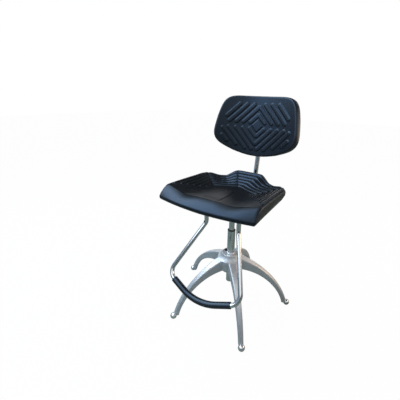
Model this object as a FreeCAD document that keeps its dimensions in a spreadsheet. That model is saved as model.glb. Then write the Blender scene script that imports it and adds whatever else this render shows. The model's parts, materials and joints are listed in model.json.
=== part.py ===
import FreeCAD, Part
import math
import os

from FreeCAD import Placement, Rotation, Vector

os.makedirs("parts", exist_ok=True)
doc = FreeCAD.newDocument("work_chair")

# Driving sizes, in millimetres and degrees. Z is up, the front of the seat is at -Y, and
# the origin is the point of the floor under the axis of the column.
SIZES = [
    # Star base and its ball feet
    ("foot_circle_radius", 352.0),
    ("first_arm_angle", -50.0),
    ("ball_radius", 17.5),
    ("ball_flat_depth", 0.5),
    ("ball_stem_radius", 4.0),
    ("ball_stem_length", 34.0),
    ("ball_stem_lean", 29.0),
    ("hub_top_height", 342.0),
    ("hub_bottom_height", 236.0),
    ("hub_rim_radius", 48.0),
    ("hub_rim_width", 6.0),
    ("hub_dish_depth", 5.0),
    ("hub_boss_wall", 3.5),
    ("hub_web_radius", 73.0),
    ("arm_root_radius", 40.0),
    ("arm_root_width", 54.0),
    ("arm_middle_width", 31.0),
    ("arm_end_width", 25.0),
    ("arm_edge_radius", 8.0),
    ("arm_top_height", 318.0),
    ("arm_under_height", 242.0),
    ("hub_screw_circle", 33.5),
    ("hub_screw_angle", 172.0),
    ("hub_screw_length", 25.0),
    ("hub_screw_head_height", 8.0),
    ("hub_screw_socket", 3.6),
    # Column tube, its guide and the gas spring inside
    ("tube_radius", 21.0),
    ("tube_wall", 3.0),
    ("tube_bottom_height", 142.0),
    ("tube_top_height", 485.0),
    ("end_cap_thickness", 8.0),
    ("collar_flange_height", 4.0),
    ("collar_flange_radius", 21.6),
    ("collar_sleeve_length", 60.0),
    ("running_gap", 0.05),
    ("spring_rod_radius", 5.0),
    ("spring_rod_top", 396.0),
    ("spring_rod_end", 6.0),
    ("spring_flange_width", 5.0),
    ("spring_flange_thickness", 3.0),
    ("rod_groove_depth", 0.8),
    ("rod_groove_width", 1.5),
    ("rod_clip_width", 4.0),
    ("piston_length", 12.0),
    ("cylinder_radius", 15.0),
    ("cylinder_wall", 2.0),
    ("cylinder_bottom_height", 250.0),
    ("cylinder_top_wall", 10.0),
    ("gland_length", 12.0),
    ("bearing_radius", 16.0),
    ("bearing_height", 6.0),
    # Seat carrier under the cushion
    ("plate_underside_height", 690.0),
    ("plate_thickness", 4.0),
    ("plate_half_width", 140.0),
    ("plate_front_reach", 160.0),
    ("plate_back_reach", 100.0),
    ("housing_half_width", 45.0),
    ("housing_front_reach", 75.0),
    ("housing_back_reach", 120.0),
    ("housing_depth", 48.0),
    ("housing_wall", 4.0),
    ("housing_flange_width", 17.0),
    ("socket_radius", 21.0),
    ("socket_length", 22.0),
    ("bolt_radius", 4.0),
    ("bolt_head_radius", 6.5),
    ("bolt_head_height", 5.0),
    ("bolt_bite", 8.0),
    ("bolt_front_inset", 20.0),
    ("bolt_rear_inset", 25.0),
    # Lift lever and valve pin
    ("lever_radius", 5.0),
    ("lever_height", 657.5),
    ("lever_hole_radius", 9.0),
    ("lever_pivot_offset", 36.0),
    ("lever_reach", 205.0),
    ("grip_length", 62.0),
    ("grip_width", 26.0),
    ("grip_thickness", 13.0),
    ("pivot_radius", 3.0),
    ("valve_pin_radius", 4.0),
    ("valve_pin_gap", 0.3),
    # Footrest
    ("footrest_tube_radius", 11.0),
    ("footrest_tube_wall", 2.0),
    ("footrest_half_width_top", 91.0),
    ("footrest_half_width_low", 209.0),
    ("footrest_tail_reach", 70.0),
    ("footrest_drop_reach", 102.0),
    ("footrest_bend_height", 555.0),
    ("footrest_slope", 55.2),
    ("footrest_side_run", 306.0),
    ("footrest_middle_run", 391.0),
    ("footrest_top_bend", 35.0),
    ("footrest_side_bend", 40.0),
    ("footrest_corner_bend", 50.0),
    ("footrest_front_bend", 250.0),
    ("sleeve_radius", 16.0),
    ("clamp_spacing", 80.0),
    ("clamp_width", 18.0),
    ("clamp_strap", 3.0),
    ("clamp_half_span", 24.5),
    ("clamp_screw_offset", 19.5),
    ("clamp_screw_radius", 3.0),
    ("clamp_screw_head_radius", 5.0),
    ("clamp_screw_head_height", 4.0),
    ("plug_shank_radius", 3.0),
    ("plug_cover_radius", 4.2),
    ("plug_cover_rise", 1.2),
    # Back support bar
    ("bar_radius", 13.0),
    ("bar_wall", 2.0),
    ("bar_height", 672.0),
    ("bar_front_reach", 40.0),
    ("bar_back_reach", 256.7),
    ("bar_lean", 7.5),
    ("bar_bend", 38.0),
    ("bar_top_height", 1000.0),
    ("bar_block_half_width", 20.0),
    ("bar_block_length", 54.0),
    ("bar_hole_clearance", 2.0),
    ("cap_thickness", 3.0),
    ("cap_plug_length", 12.0),
    ("knob_radius", 20.0),
    ("knob_thickness", 20.0),
    ("knob_stud_radius", 4.0),
    ("knob_lobes", 8.0),
    ("knob_edge", 3.0),
    ("knob_notch_radius", 6.5),
    ("knob_notch_offset", 3.0),
    ("knob_tip_gap", 0.3),
    ("knob_clearance", 3.0),
    ("depth_knob_reach", 90.0),
    # Carrier of the backrest, on the bar
    ("carrier_height", 960.0),
    ("carrier_half_width", 18.0),
    ("carrier_length", 70.0),
    ("carrier_back_wall", 6.0),
    ("carrier_edge", 3.0),
    ("tilt_pin_offset", 20.0),
    ("tilt_pin_radius", 4.0),
    ("tilt_lug_radius", 8.0),
    ("ear_thickness", 4.0),
    ("ear_gap", 0.5),
    ("ear_radius", 9.0),
    ("bracket_thickness", 3.0),
    ("bracket_half_width", 34.0),
    ("bracket_half_height", 44.0),
    ("bracket_screw_across", 24.0),
    ("bracket_screw_up", 34.0),
    ("bracket_screw_bite", 14.0),
    ("bracket_screw_head_radius", 5.5),
    ("bracket_screw_head_height", 3.5),
    ("bracket_screw_socket", 2.4),
    # Backrest cushion
    ("back_centre_reach", 234.0),
    ("back_centre_height", 1001.0),
    ("back_tilt", 10.5),
    ("back_hollow_radius", 430.0),
    ("back_thickness", 38.0),
    ("back_recess_depth", 5.0),
    ("back_top_rise", 134.0),
    ("back_bottom_drop", 160.0),
    ("back_half_width", 221.0),
    ("back_front_edge", 7.0),
    ("back_rear_edge", 14.0),
    ("back_rib_height", 2.9),
    ("back_rib_width", 17.0),
    ("back_rib_first_across", 56.0),
    ("back_rib_first_rise", 53.0),
    ("back_rib_pitch_across", 37.0),
    ("back_rib_pitch_up", 39.0),
    ("back_rib_rings_above", 5.0),
    ("back_rib_rings_below", 6.0),
    ("back_rib_midline", -8.0),
    ("back_rib_gap", 15.0),
    ("back_rib_top", 93.0),
    ("back_rib_bottom", -124.0),
    ("back_rib_top_side", 169.0),
    ("back_rib_bottom_side", 182.0),
    ("back_diamond_reach", 30.0),
    # Seat cushion: its side view and its hollow, from the rim down to the floor
    ("seat_half_width", 234.0),
    ("seat_side_edge", 6.0),
    ("seat_flare", 0.03),
    ("seat_front_reach", 290.0),
    ("seat_front_bulge", 25.0),
    ("seat_lip_height", 702.0),
    ("seat_nose_rise", 14.0),
    ("seat_roll_depth", 58.0),
    ("seat_roll_bulge", 5.5),
    ("seat_back_reach", 196.0),
    ("seat_back_curve", 88.0),
    ("seat_back_corner", 38.0),
    ("seat_crest_radius", 12.0),
    ("seat_underside_rise", 12.0),
    ("seat_rim_across", 222.0),
    ("seat_rim_corner_reach", 100.0),
    ("seat_rim_hump_across", 64.0),
    ("seat_rim_hump_reach", 172.0),
    ("seat_floor_across", 116.0),
    ("seat_floor_corner_reach", 0.0),
    ("seat_floor_hump_reach", 53.0),
    ("seat_floor_height", 713.0),
    ("seat_ridge_height", 750.0),
    ("seat_ridge_reach", 236.0),
    ("seat_well_depth", 5.0),
    ("seat_hump_height", 759.0),
    ("seat_dip_height", 728.0),
    ("seat_side_front_height", 760.0),
    ("seat_side_rear_height", 741.0),
    ("seat_rib_count", 6.0),
    ("seat_rib_height", 2.0),
    ("seat_rib_width", 9.5),
    ("seat_rib_first", 0.03),
    ("seat_rib_step", 0.175),
    ("seat_rib_front_start", 176.0),
    ("seat_rib_front_run", 146.0),
]
ARM_COUNT = 5

sheet = doc.addObject("Spreadsheet::Sheet", "Sizes")
for row, (alias, value) in enumerate(SIZES, start=1):
    sheet.set("A%d" % row, alias)
    sheet.set("B%d" % row, str(value))
    sheet.setAlias("B%d" % row, alias)
doc.recompute()
size = {alias: float(sheet.get(alias)) for alias, value in SIZES}

nodes = []


# Helpers

def node(name, obj):
    """Gives an object the name of its piece and lists it for writing."""
    obj.Label = name
    nodes.append(obj)
    return obj


def feature(name, shape):
    """Makes a piece from a finished shape, at the shape's own placement."""
    obj = doc.addObject("Part::Feature", name)
    obj.Shape = shape
    obj.Placement = shape.Placement
    return node(name, obj)


def bind(obj, **expressions):
    """Ties properties to sizes; a double underscore stands for a dot."""
    for prop, expression in expressions.items():
        obj.setExpression(prop.replace("__", "."), expression)
    return obj


def cylinder(name, radius, height, bottom, x="0 mm", y="0 mm"):
    """An upright cylinder tied to expressions."""
    obj = doc.addObject("Part::Cylinder", name)
    return bind(obj, Radius=radius, Height=height, Placement__Base__x=x,
                Placement__Base__y=y, Placement__Base__z=bottom)


def cut(name, base, tool):
    obj = doc.addObject("Part::Cut", name)
    obj.Base = base
    obj.Tool = tool
    return obj


def polar(radius, degrees, height=0.0):
    """A point at a radius and an angle about the column."""
    angle = math.radians(degrees)
    return Vector(radius * math.cos(angle), radius * math.sin(angle), height)


def rod(start, direction, length, radius):
    """A solid round bar from a point along a direction."""
    return Part.makeCylinder(radius, length, start, direction)


def hexagon_head(centre, direction, radius, height):
    """A hexagon bolt head whose underside is at the centre point."""
    corners = [Vector(radius * math.cos(math.radians(60 * k)), radius * math.sin(math.radians(60 * k)), 0)
               for k in range(7)]
    solid = Part.Face(Part.makePolygon(corners)).extrude(Vector(0, 0, height))
    solid.Placement = Placement(centre, Rotation(Vector(0, 0, 1), direction))
    return solid


def rounded_path(points, radii):
    """A wire of straight runs joined by tangent arcs of the given radii."""
    edges = []
    start = points[0]
    for before, corner, after, radius in zip(points, points[1:], points[2:], radii):
        inward = (before - corner).normalize()
        outward = (after - corner).normalize()
        turn = math.pi - inward.getAngle(outward)
        tangent = radius * math.tan(turn / 2)
        first = corner + inward * tangent
        last = corner + outward * tangent
        bisector = (inward + outward).normalize()
        middle = corner + bisector * (radius / math.cos(turn / 2) - radius)
        edges.append(Part.LineSegment(start, first).toShape())
        edges.append(Part.Arc(first, middle, last).toShape())
        start = last
    edges.append(Part.LineSegment(start, points[-1]).toShape())
    return Part.Wire(edges)


def sweep(path, radius):
    """A round solid along a path."""
    first = path.Edges[0]
    start = first.Vertexes[0].Point
    direction = (first.Vertexes[1].Point - start).normalize()
    ring = Part.Wire([Part.makeCircle(radius, start, direction)])
    return path.makePipeShell([ring], True, False)


def tube(path, radius, wall):
    """A hollow round tube along a path."""
    return sweep(path, radius).cut(sweep(path, radius - wall))


def ring_solid(outer, inner, bottom, height):
    """A plain upright ring about the column axis."""
    low = Vector(0, 0, bottom)
    return Part.makeCylinder(outer, height, low).cut(Part.makeCylinder(inner, height, low))


def sketch_on(body, name, role):
    """A sketch attached to one of a body's own origin planes."""
    plane = [item for item in body.Origin.OriginFeatures if item.Role == role][0]
    sketch = body.newObject("Sketcher::SketchObject", name)
    sketch.AttachmentSupport = (plane, "")
    sketch.MapMode = "FlatFace"
    return sketch


def closed_polygon(sketch, points):
    """Draws a closed outline of straight lines in a sketch."""
    last = len(points)
    for index in range(last):
        begin = Vector(points[index][0], points[index][1], 0)
        end = Vector(points[(index + 1) % last][0], points[(index + 1) % last][1], 0)
        sketch.addGeometry(Part.LineSegment(begin, end), False)


def turned_body(name, profile):
    """A part turned about the column axis from a closed (radius, height) outline."""
    body = doc.addObject("PartDesign::Body", name)
    sketch = sketch_on(body, name + "_profile", "XZ_Plane")
    closed_polygon(sketch, profile)
    turn = body.newObject("PartDesign::Revolution", name + "_turn")
    turn.Profile = sketch
    turn.ReferenceAxis = (sketch, ["V_Axis"])
    turn.Angle = 360
    return node(name, body)


# Star base: a casting with a hub and five arched arms

ball_height = size["ball_radius"] - size["ball_flat_depth"]
arm_angles = [size["first_arm_angle"] + 360.0 / ARM_COUNT * k for k in range(ARM_COUNT)]


def side_arc(inner, middle, outer):
    """The arc that an arm's upper or lower edge follows, in the plane of radius and height."""
    return Part.Arc(Vector(inner[0], 0, inner[1]), Vector(middle[0], 0, middle[1]),
                    Vector(outer[0], 0, outer[1]))


def rounded_section(top, low, width, edge):
    """A rounded rectangle that stands between a top and a low point, across the arm."""
    up = (top - low).normalize()
    side = Vector(0, 1, 0)
    half = width / 2
    round_off = min(edge, half * 0.8)
    corner = round_off * (1 - math.sqrt(0.5))
    outline = []
    corners = [(top, -1, 1), (top, -1, -1), (low, 1, -1), (low, 1, 1)]
    ends = []
    for point, lift, hand in corners:
        along_side = point + side * (hand * (half - round_off))
        along_edge = point + side * (hand * half) + up * (lift * round_off)
        middle = point + side * (hand * (half - corner)) + up * (lift * corner)
        ends.append((along_side, middle, along_edge))
    (a1, a2, a3), (b1, b2, b3), (c1, c2, c3), (d1, d2, d3) = ends
    outline.append(Part.LineSegment(a1, b1).toShape())
    outline.append(Part.Arc(b1, b2, b3).toShape())
    outline.append(Part.LineSegment(b3, c3).toShape())
    outline.append(Part.Arc(c3, c2, c1).toShape())
    outline.append(Part.LineSegment(c1, d1).toShape())
    outline.append(Part.Arc(d1, d2, d3).toShape())
    outline.append(Part.LineSegment(d3, a3).toShape())
    outline.append(Part.Arc(a3, a2, a1).toShape())
    return Part.Wire(outline)


def arm_solid():
    """One arched arm along +X, lofted through rounded sections between two arcs."""
    reach = size["foot_circle_radius"]
    root = size["arm_root_radius"]
    top = side_arc((root, size["arm_top_height"] + 6), (reach * 0.73, size["arm_top_height"] * 0.585),
                   (reach - 3.5, 27.0))
    low = side_arc((root + 12, size["arm_under_height"] + 4), (reach * 0.685, size["arm_under_height"] * 0.645),
                   (reach - 29.5, 17.0))
    stations = 7
    wires = []
    for k in range(stations):
        share = k / (stations - 1.0)
        upper = top.value(top.FirstParameter + share * (top.LastParameter - top.FirstParameter))
        lower = low.value(low.FirstParameter + share * (low.LastParameter - low.FirstParameter))
        if share < 0.5:
            blend = (1 - share / 0.5) ** 1.8
            width = size["arm_middle_width"] + (size["arm_root_width"] - size["arm_middle_width"]) * blend
        else:
            blend = (share - 0.5) / 0.5
            width = size["arm_middle_width"] + (size["arm_end_width"] - size["arm_middle_width"]) * blend
        wires.append(rounded_section(upper, lower, width, size["arm_edge_radius"]))
    return Part.makeLoft(wires, True, False)


def hub_solid():
    """The hub: a bell with a raised rim round a shallow dish, bored for the tube."""
    top = size["hub_top_height"]
    low = size["hub_bottom_height"]
    rim = size["hub_rim_radius"]
    web = size["hub_web_radius"]
    floor = top - size["hub_dish_depth"]
    bore = size["tube_radius"]
    inner_rim = rim - size["hub_rim_width"]
    boss = bore + size["hub_boss_wall"]
    points = [(bore, low), (web - 16, low), (web - 9, low + 9), (web, top - 42)]
    edges = []
    corners = [Vector(r, 0, z) for r, z in points]
    for begin, end in zip(corners, corners[1:]):
        edges.append(Part.LineSegment(begin, end).toShape())
    shoulder = Vector(web - 2, 0, top - 28)
    rim_foot = Vector(rim, 0, top - 3)
    edges.append(Part.LineSegment(corners[-1], shoulder).toShape())
    edges.append(Part.Arc(shoulder, Vector(rim + 9, 0, top - 17), rim_foot).toShape())
    edges.append(Part.Arc(rim_foot, Vector(rim - size["hub_rim_width"] / 2, 0, top),
                          Vector(inner_rim, 0, top - 2)).toShape())
    rest = [Vector(inner_rim, 0, top - 2), Vector(inner_rim - 1, 0, floor), Vector(boss + 2, 0, floor),
            Vector(boss, 0, top - 1), Vector(bore, 0, top - 1), corners[0]]
    for begin, end in zip(rest, rest[1:]):
        edges.append(Part.LineSegment(begin, end).toShape())
    face = Part.Face(Part.Wire(edges))
    return face.revolve(Vector(0, 0, 0), Vector(0, 0, 1), 360)


def ball_solid(degrees):
    """A ball foot with its flat and the stem that goes into the arm."""
    centre = polar(size["foot_circle_radius"], degrees, ball_height)
    ball = Part.makeSphere(size["ball_radius"], centre)
    below = Part.makeBox(100, 100, 50, Vector(centre.x - 50, centre.y - 50, -50))
    return ball.cut(below).fuse(stem_solid(degrees))


def stem_solid(degrees):
    lean = math.radians(size["ball_stem_lean"])
    inward = polar(1.0, degrees) * -1
    direction = inward * math.sin(lean) + Vector(0, 0, math.cos(lean))
    centre = polar(size["foot_circle_radius"], degrees, ball_height)
    return rod(centre, direction, size["ball_stem_length"], size["ball_stem_radius"])


hub_screw_centre = polar(size["hub_screw_circle"], size["hub_screw_angle"],
                         size["hub_top_height"] - size["hub_dish_depth"])

star = hub_solid()
arm = arm_solid()
for angle in arm_angles:
    turned = arm.copy()
    turned.rotate(Vector(0, 0, 0), Vector(0, 0, 1), angle)
    star = star.fuse(turned)
star = star.cut(Part.makeCylinder(size["tube_radius"], 200, Vector(0, 0, 200)))
for angle in arm_angles:
    star = star.cut(Part.makeSphere(size["ball_radius"], polar(size["foot_circle_radius"], angle, ball_height)))
    star = star.cut(stem_solid(angle))
star = star.cut(rod(hub_screw_centre, Vector(0, 0, -1), size["hub_screw_length"], size["bolt_radius"]))
feature("star_base", star)

for number, angle in enumerate(arm_angles, start=1):
    feature("ball_foot_%d" % number, ball_solid(angle))

head_height = size["hub_screw_head_height"]
screw_head = Part.makeCylinder(size["bolt_head_radius"], head_height, hub_screw_centre)
screw_socket = hexagon_head(hub_screw_centre + Vector(0, 0, head_height / 2), Vector(0, 0, 1),
                            size["hub_screw_socket"], head_height)
screw_shank = rod(hub_screw_centre, Vector(0, 0, -1), size["hub_screw_length"], size["bolt_radius"])
feature("hub_clamp_screw", screw_head.cut(screw_socket).fuse(screw_shank))

# Column tube with its end cap and guide collar

tube_outer = cylinder("tube_outer", "Sizes.tube_radius", "Sizes.tube_top_height - Sizes.tube_bottom_height",
                      "Sizes.tube_bottom_height")
tube_inner = cylinder("tube_inner", "Sizes.tube_radius - Sizes.tube_wall",
                      "Sizes.tube_top_height - Sizes.tube_bottom_height", "Sizes.tube_bottom_height")
node("column_tube", cut("column_tube", tube_outer, tube_inner))

cap_disc = cylinder("cap_disc", "Sizes.tube_radius - Sizes.tube_wall", "Sizes.end_cap_thickness",
                    "Sizes.tube_bottom_height")
cap_bore = cylinder("cap_bore", "Sizes.spring_rod_radius + Sizes.running_gap", "Sizes.end_cap_thickness",
                    "Sizes.tube_bottom_height")
node("tube_end_cap", cut("tube_end_cap", cap_disc, cap_bore))

guide_bore = size["cylinder_radius"] + size["running_gap"]
tube_bore = size["tube_radius"] - size["tube_wall"]
tube_top = size["tube_top_height"]
sleeve_bottom = tube_top - size["collar_sleeve_length"]
flange_top = tube_top + size["collar_flange_height"]
turned_body("tube_collar", [
    (guide_bore, sleeve_bottom),
    (tube_bore, sleeve_bottom),
    (tube_bore, tube_top),
    (size["collar_flange_radius"], tube_top),
    (size["collar_flange_radius"], flange_top - 2),
    (size["collar_flange_radius"] - 2, flange_top),
    (guide_bore, flange_top),
])

# Gas spring: the rod turns in the end cap, the cylinder slides on the rod and in the collar

cap_top = size["tube_bottom_height"] + size["end_cap_thickness"]
bearing_top = cap_top + size["bearing_height"]
bearing_race = cylinder("bearing_race", "Sizes.bearing_radius", "Sizes.bearing_height",
                        "Sizes.tube_bottom_height + Sizes.end_cap_thickness")
bearing_bore = cylinder("bearing_bore", "Sizes.spring_rod_radius + 1", "Sizes.bearing_height",
                        "Sizes.tube_bottom_height + Sizes.end_cap_thickness")
node("thrust_bearing", cut("thrust_bearing", bearing_race, bearing_bore))

rod_radius = size["spring_rod_radius"]
rod_bottom = size["tube_bottom_height"] - size["spring_rod_end"]
groove_top = size["tube_bottom_height"] - 0.5
groove_bottom = groove_top - size["rod_groove_width"]
groove_radius = rod_radius - size["rod_groove_depth"]
flange_low = bearing_top + size["running_gap"]
flange_high = flange_low + size["spring_flange_thickness"]
flange_edge = rod_radius + size["spring_flange_width"]
turned_body("spring_rod", [
    (0, rod_bottom),
    (rod_radius, rod_bottom),
    (rod_radius, groove_bottom),
    (groove_radius, groove_bottom),
    (groove_radius, groove_top),
    (rod_radius, groove_top),
    (rod_radius, flange_low),
    (flange_edge, flange_low),
    (flange_edge, flange_high),
    (rod_radius, flange_high),
    (rod_radius, size["spring_rod_top"]),
    (0, size["spring_rod_top"]),
])
feature("rod_clip", ring_solid(rod_radius + size["rod_clip_width"], groove_radius, groove_bottom,
                               size["rod_groove_width"]))

cylinder_bore = size["cylinder_radius"] - size["cylinder_wall"]
feature("spring_piston", Part.makeCylinder(cylinder_bore - size["running_gap"], size["piston_length"],
                                           Vector(0, 0, size["spring_rod_top"])))

housing_top = size["plate_underside_height"]
housing_bottom = housing_top - size["housing_depth"]
floor_top = housing_bottom + size["housing_wall"]
cylinder_low = size["cylinder_bottom_height"]
chamber_top = floor_top - size["cylinder_top_wall"]
pin_bore = size["valve_pin_radius"] + size["running_gap"]
turned_body("gas_cylinder", [
    (cylinder_bore, cylinder_low),
    (size["cylinder_radius"], cylinder_low),
    (size["cylinder_radius"], floor_top),
    (pin_bore, floor_top),
    (pin_bore, chamber_top),
    (cylinder_bore, chamber_top),
])
feature("cylinder_gland", ring_solid(cylinder_bore, rod_radius + size["running_gap"], cylinder_low,
                                     size["gland_length"]))

pin_top = size["lever_height"] - size["lever_radius"] - size["valve_pin_gap"]
pin_bottom = chamber_top + 2
feature("valve_pin", Part.makeCylinder(size["valve_pin_radius"], pin_top - pin_bottom, Vector(0, 0, pin_bottom)))

# Seat carrier: a pressed housing bolted under a plate

half = size["housing_half_width"]
wall = size["housing_wall"]
front = -size["housing_front_reach"]
rear = size["housing_back_reach"]
flange = size["housing_flange_width"]
bolt_across = half + flange / 2
bolt_rows = (front + size["bolt_front_inset"], rear - size["bolt_rear_inset"])
plate_top = housing_top + size["plate_thickness"]

housing = doc.addObject("PartDesign::Body", "seat_housing")
base_sketch = sketch_on(housing, "housing_outline", "XY_Plane")
base_sketch.AttachmentOffset = Placement(Vector(0, 0, housing_bottom), Rotation())
closed_polygon(base_sketch, [(-half, front), (half, front), (half, rear), (-half, rear)])
block = housing.newObject("PartDesign::Pad", "housing_block")
block.Profile = base_sketch
bind(block, Length="Sizes.housing_depth")
flange_sketch = sketch_on(housing, "housing_flange_outline", "XY_Plane")
flange_sketch.AttachmentOffset = Placement(Vector(0, 0, housing_top - wall), Rotation())
closed_polygon(flange_sketch, [(-half - flange, front), (half + flange, front), (half + flange, rear),
                               (-half - flange, rear)])
flange_pad = housing.newObject("PartDesign::Pad", "housing_flange")
flange_pad.Profile = flange_sketch
bind(flange_pad, Length="Sizes.housing_wall")
socket_sketch = sketch_on(housing, "socket_outline", "XY_Plane")
socket_sketch.AttachmentOffset = Placement(Vector(0, 0, housing_bottom - size["socket_length"]), Rotation())
socket_sketch.addGeometry(Part.Circle(Vector(0, 0, 0), Vector(0, 0, 1), size["socket_radius"]), False)
socket_pad = housing.newObject("PartDesign::Pad", "housing_socket")
socket_pad.Profile = socket_sketch
bind(socket_pad, Length="Sizes.socket_length")
hollow_sketch = sketch_on(housing, "hollow_outline", "XY_Plane")
hollow_sketch.AttachmentOffset = Placement(Vector(0, 0, housing_top), Rotation())
closed_polygon(hollow_sketch, [(-half + wall, front + wall), (half - wall, front + wall),
                               (half - wall, rear - wall), (-half + wall, rear - wall)])
hollow = housing.newObject("PartDesign::Pocket", "housing_hollow")
hollow.Profile = hollow_sketch
bind(hollow, Length="Sizes.housing_depth - Sizes.housing_wall")
bore_sketch = sketch_on(housing, "bore_outline", "XY_Plane")
bore_sketch.AttachmentOffset = Placement(Vector(0, 0, floor_top), Rotation())
bore_sketch.addGeometry(Part.Circle(Vector(0, 0, 0), Vector(0, 0, 1), size["cylinder_radius"]), False)
stud_hole = size["knob_stud_radius"] + size["running_gap"]
bore_sketch.addGeometry(Part.Circle(Vector(0, size["depth_knob_reach"], 0), Vector(0, 0, 1), stud_hole), False)
bore = housing.newObject("PartDesign::Pocket", "housing_bore")
bore.Profile = bore_sketch
bind(bore, Length="Sizes.housing_wall + Sizes.socket_length")
bolt_sketch = sketch_on(housing, "bolt_outline", "XY_Plane")
bolt_sketch.AttachmentOffset = Placement(Vector(0, 0, housing_top), Rotation())
for hand in (-1, 1):
    for reach in bolt_rows:
        bolt_sketch.addGeometry(Part.Circle(Vector(hand * bolt_across, reach, 0), Vector(0, 0, 1),
                                            size["bolt_radius"]), False)
bolt_holes = housing.newObject("PartDesign::Pocket", "housing_bolt_holes")
bolt_holes.Profile = bolt_sketch
bind(bolt_holes, Length="Sizes.housing_wall")
doc.recompute()
rear_sketch = sketch_on(housing, "rear_hole_outline", "XZ_Plane")
rear_sketch.AttachmentOffset = Placement(Vector(0, 0, -rear), Rotation())
rear_hole_radius = size["bar_radius"] + size["bar_hole_clearance"]
rear_sketch.addGeometry(Part.Circle(Vector(0, size["bar_height"], 0), Vector(0, 0, 1), rear_hole_radius), False)
rear_hole = housing.newObject("PartDesign::Pocket", "housing_rear_hole")
rear_hole.Profile = rear_sketch
rear_hole.Reversed = True
bind(rear_hole, Length="Sizes.housing_wall")
side_sketch = sketch_on(housing, "side_hole_outline", "YZ_Plane")
side_sketch.AttachmentOffset = Placement(Vector(0, 0, -half), Rotation())
side_sketch.addGeometry(Part.Circle(Vector(0, size["lever_height"], 0), Vector(0, 0, 1),
                                   size["lever_hole_radius"]), False)
side_hole = housing.newObject("PartDesign::Pocket", "housing_side_hole")
side_hole.Profile = side_sketch
side_hole.Reversed = True
bind(side_hole, Length="Sizes.housing_wall")
node("seat_housing", housing)

pivot_x = -size["lever_pivot_offset"]
lever_z = size["lever_height"]
ear_in = size["lever_radius"] + 1.5
pivot_ears = []
for hand in (-1, 1):
    ear_low = Vector(pivot_x - 5, hand * (ear_in + 1.5) - 1.5, floor_top)
    ear = Part.makeBox(10, 3, lever_z + 5 - floor_top, ear_low)
    pivot_ears.append(ear.cut(rod(Vector(pivot_x, -20, lever_z), Vector(0, 1, 0), 40, size["pivot_radius"])))
feature("lever_bracket", Part.makeCompound(pivot_ears))
feature("lever_pivot", rod(Vector(pivot_x, -ear_in - 3, lever_z), Vector(0, 1, 0), 2 * ear_in + 6,
                           size["pivot_radius"]))

lever_end = -size["lever_reach"]
lever_bar = rod(Vector(lever_end, 0, lever_z), Vector(1, 0, 0), size["lever_reach"] + 5, size["lever_radius"])
lever_boss = rod(Vector(pivot_x, -size["lever_radius"] - 1, lever_z), Vector(0, 1, 0),
                 2 * size["lever_radius"] + 2, size["pivot_radius"] + 4)
lever_bore = rod(Vector(pivot_x, -20, lever_z), Vector(0, 1, 0), 40, size["pivot_radius"] + size["running_gap"])
feature("lift_lever", lever_bar.fuse(lever_boss).cut(lever_bore))

grip_box = Part.makeBox(size["grip_length"], size["grip_width"], size["grip_thickness"],
                        Vector(lever_end - 6, -size["grip_width"] / 2, lever_z - size["grip_thickness"] / 2))
grip = grip_box.makeFillet(size["grip_thickness"] * 0.42, grip_box.Edges)
feature("lever_grip", grip.cut(rod(Vector(lever_end, 0, lever_z), Vector(1, 0, 0), 100, size["lever_radius"])))

# Plate and its bolts

clamp_x = size["footrest_half_width_top"]
clamp_rows = (-size["clamp_spacing"] / 2, size["clamp_spacing"] / 2)
clamp_screw_places = [Vector(hand * clamp_x + side * size["clamp_screw_offset"], reach, 0)
                      for hand in (-1, 1) for reach in clamp_rows for side in (-1, 1)]
bolt_places = [Vector(hand * bolt_across, reach, 0) for hand in (-1, 1) for reach in bolt_rows]

plate = doc.addObject("PartDesign::Body", "seat_plate")
plate_sketch = sketch_on(plate, "plate_outline", "XY_Plane")
plate_sketch.AttachmentOffset = Placement(Vector(0, 0, housing_top), Rotation())
across = size["plate_half_width"]
closed_polygon(plate_sketch, [(-across, -size["plate_front_reach"]), (across, -size["plate_front_reach"]),
                              (across, size["plate_back_reach"]), (-across, size["plate_back_reach"])])
for place in bolt_places:
    plate_sketch.addGeometry(Part.Circle(place, Vector(0, 0, 1), size["bolt_radius"]), False)
for place in clamp_screw_places:
    plate_sketch.addGeometry(Part.Circle(place, Vector(0, 0, 1), size["clamp_screw_radius"]), False)
plate_pad = plate.newObject("PartDesign::Pad", "plate_pad")
plate_pad.Profile = plate_sketch
bind(plate_pad, Length="Sizes.plate_thickness")
node("seat_plate", plate)


def bolt(place, under_head, radius, head_radius, head_height, top):
    """A bolt that goes up from its head to a height."""
    at = Vector(place.x, place.y, under_head - head_height)
    head = hexagon_head(at, Vector(0, 0, 1), head_radius, head_height)
    return head.fuse(rod(at, Vector(0, 0, 1), top - at.z, radius))


bolt_top = plate_top + size["bolt_bite"]
feature("plate_bolts", Part.makeCompound([
    bolt(place, housing_top - wall, size["bolt_radius"], size["bolt_head_radius"], size["bolt_head_height"],
         bolt_top) for place in bolt_places]))

# Footrest: a bent tube clamped under the plate, with a sleeve on its front bar

rest_radius = size["footrest_tube_radius"]
rest_top = housing_top - rest_radius
slope = math.radians(size["footrest_slope"])


def down_slope(across_x, run):
    """A point of the footrest's sloping plane, a run below its upper bends."""
    return Vector(across_x, -size["footrest_drop_reach"] - run * math.cos(slope),
                  size["footrest_bend_height"] - run * math.sin(slope))


rest_x = size["footrest_half_width_top"]
low_x = size["footrest_half_width_low"]
tail = Vector(rest_x, size["footrest_tail_reach"], rest_top)
knee = Vector(rest_x, -size["footrest_drop_reach"], rest_top)
upper = down_slope(rest_x, 0)
corner = down_slope(low_x, size["footrest_side_run"])
middle = down_slope(0, size["footrest_middle_run"])


def other_hand(point):
    return Vector(-point.x, point.y, point.z)


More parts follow.
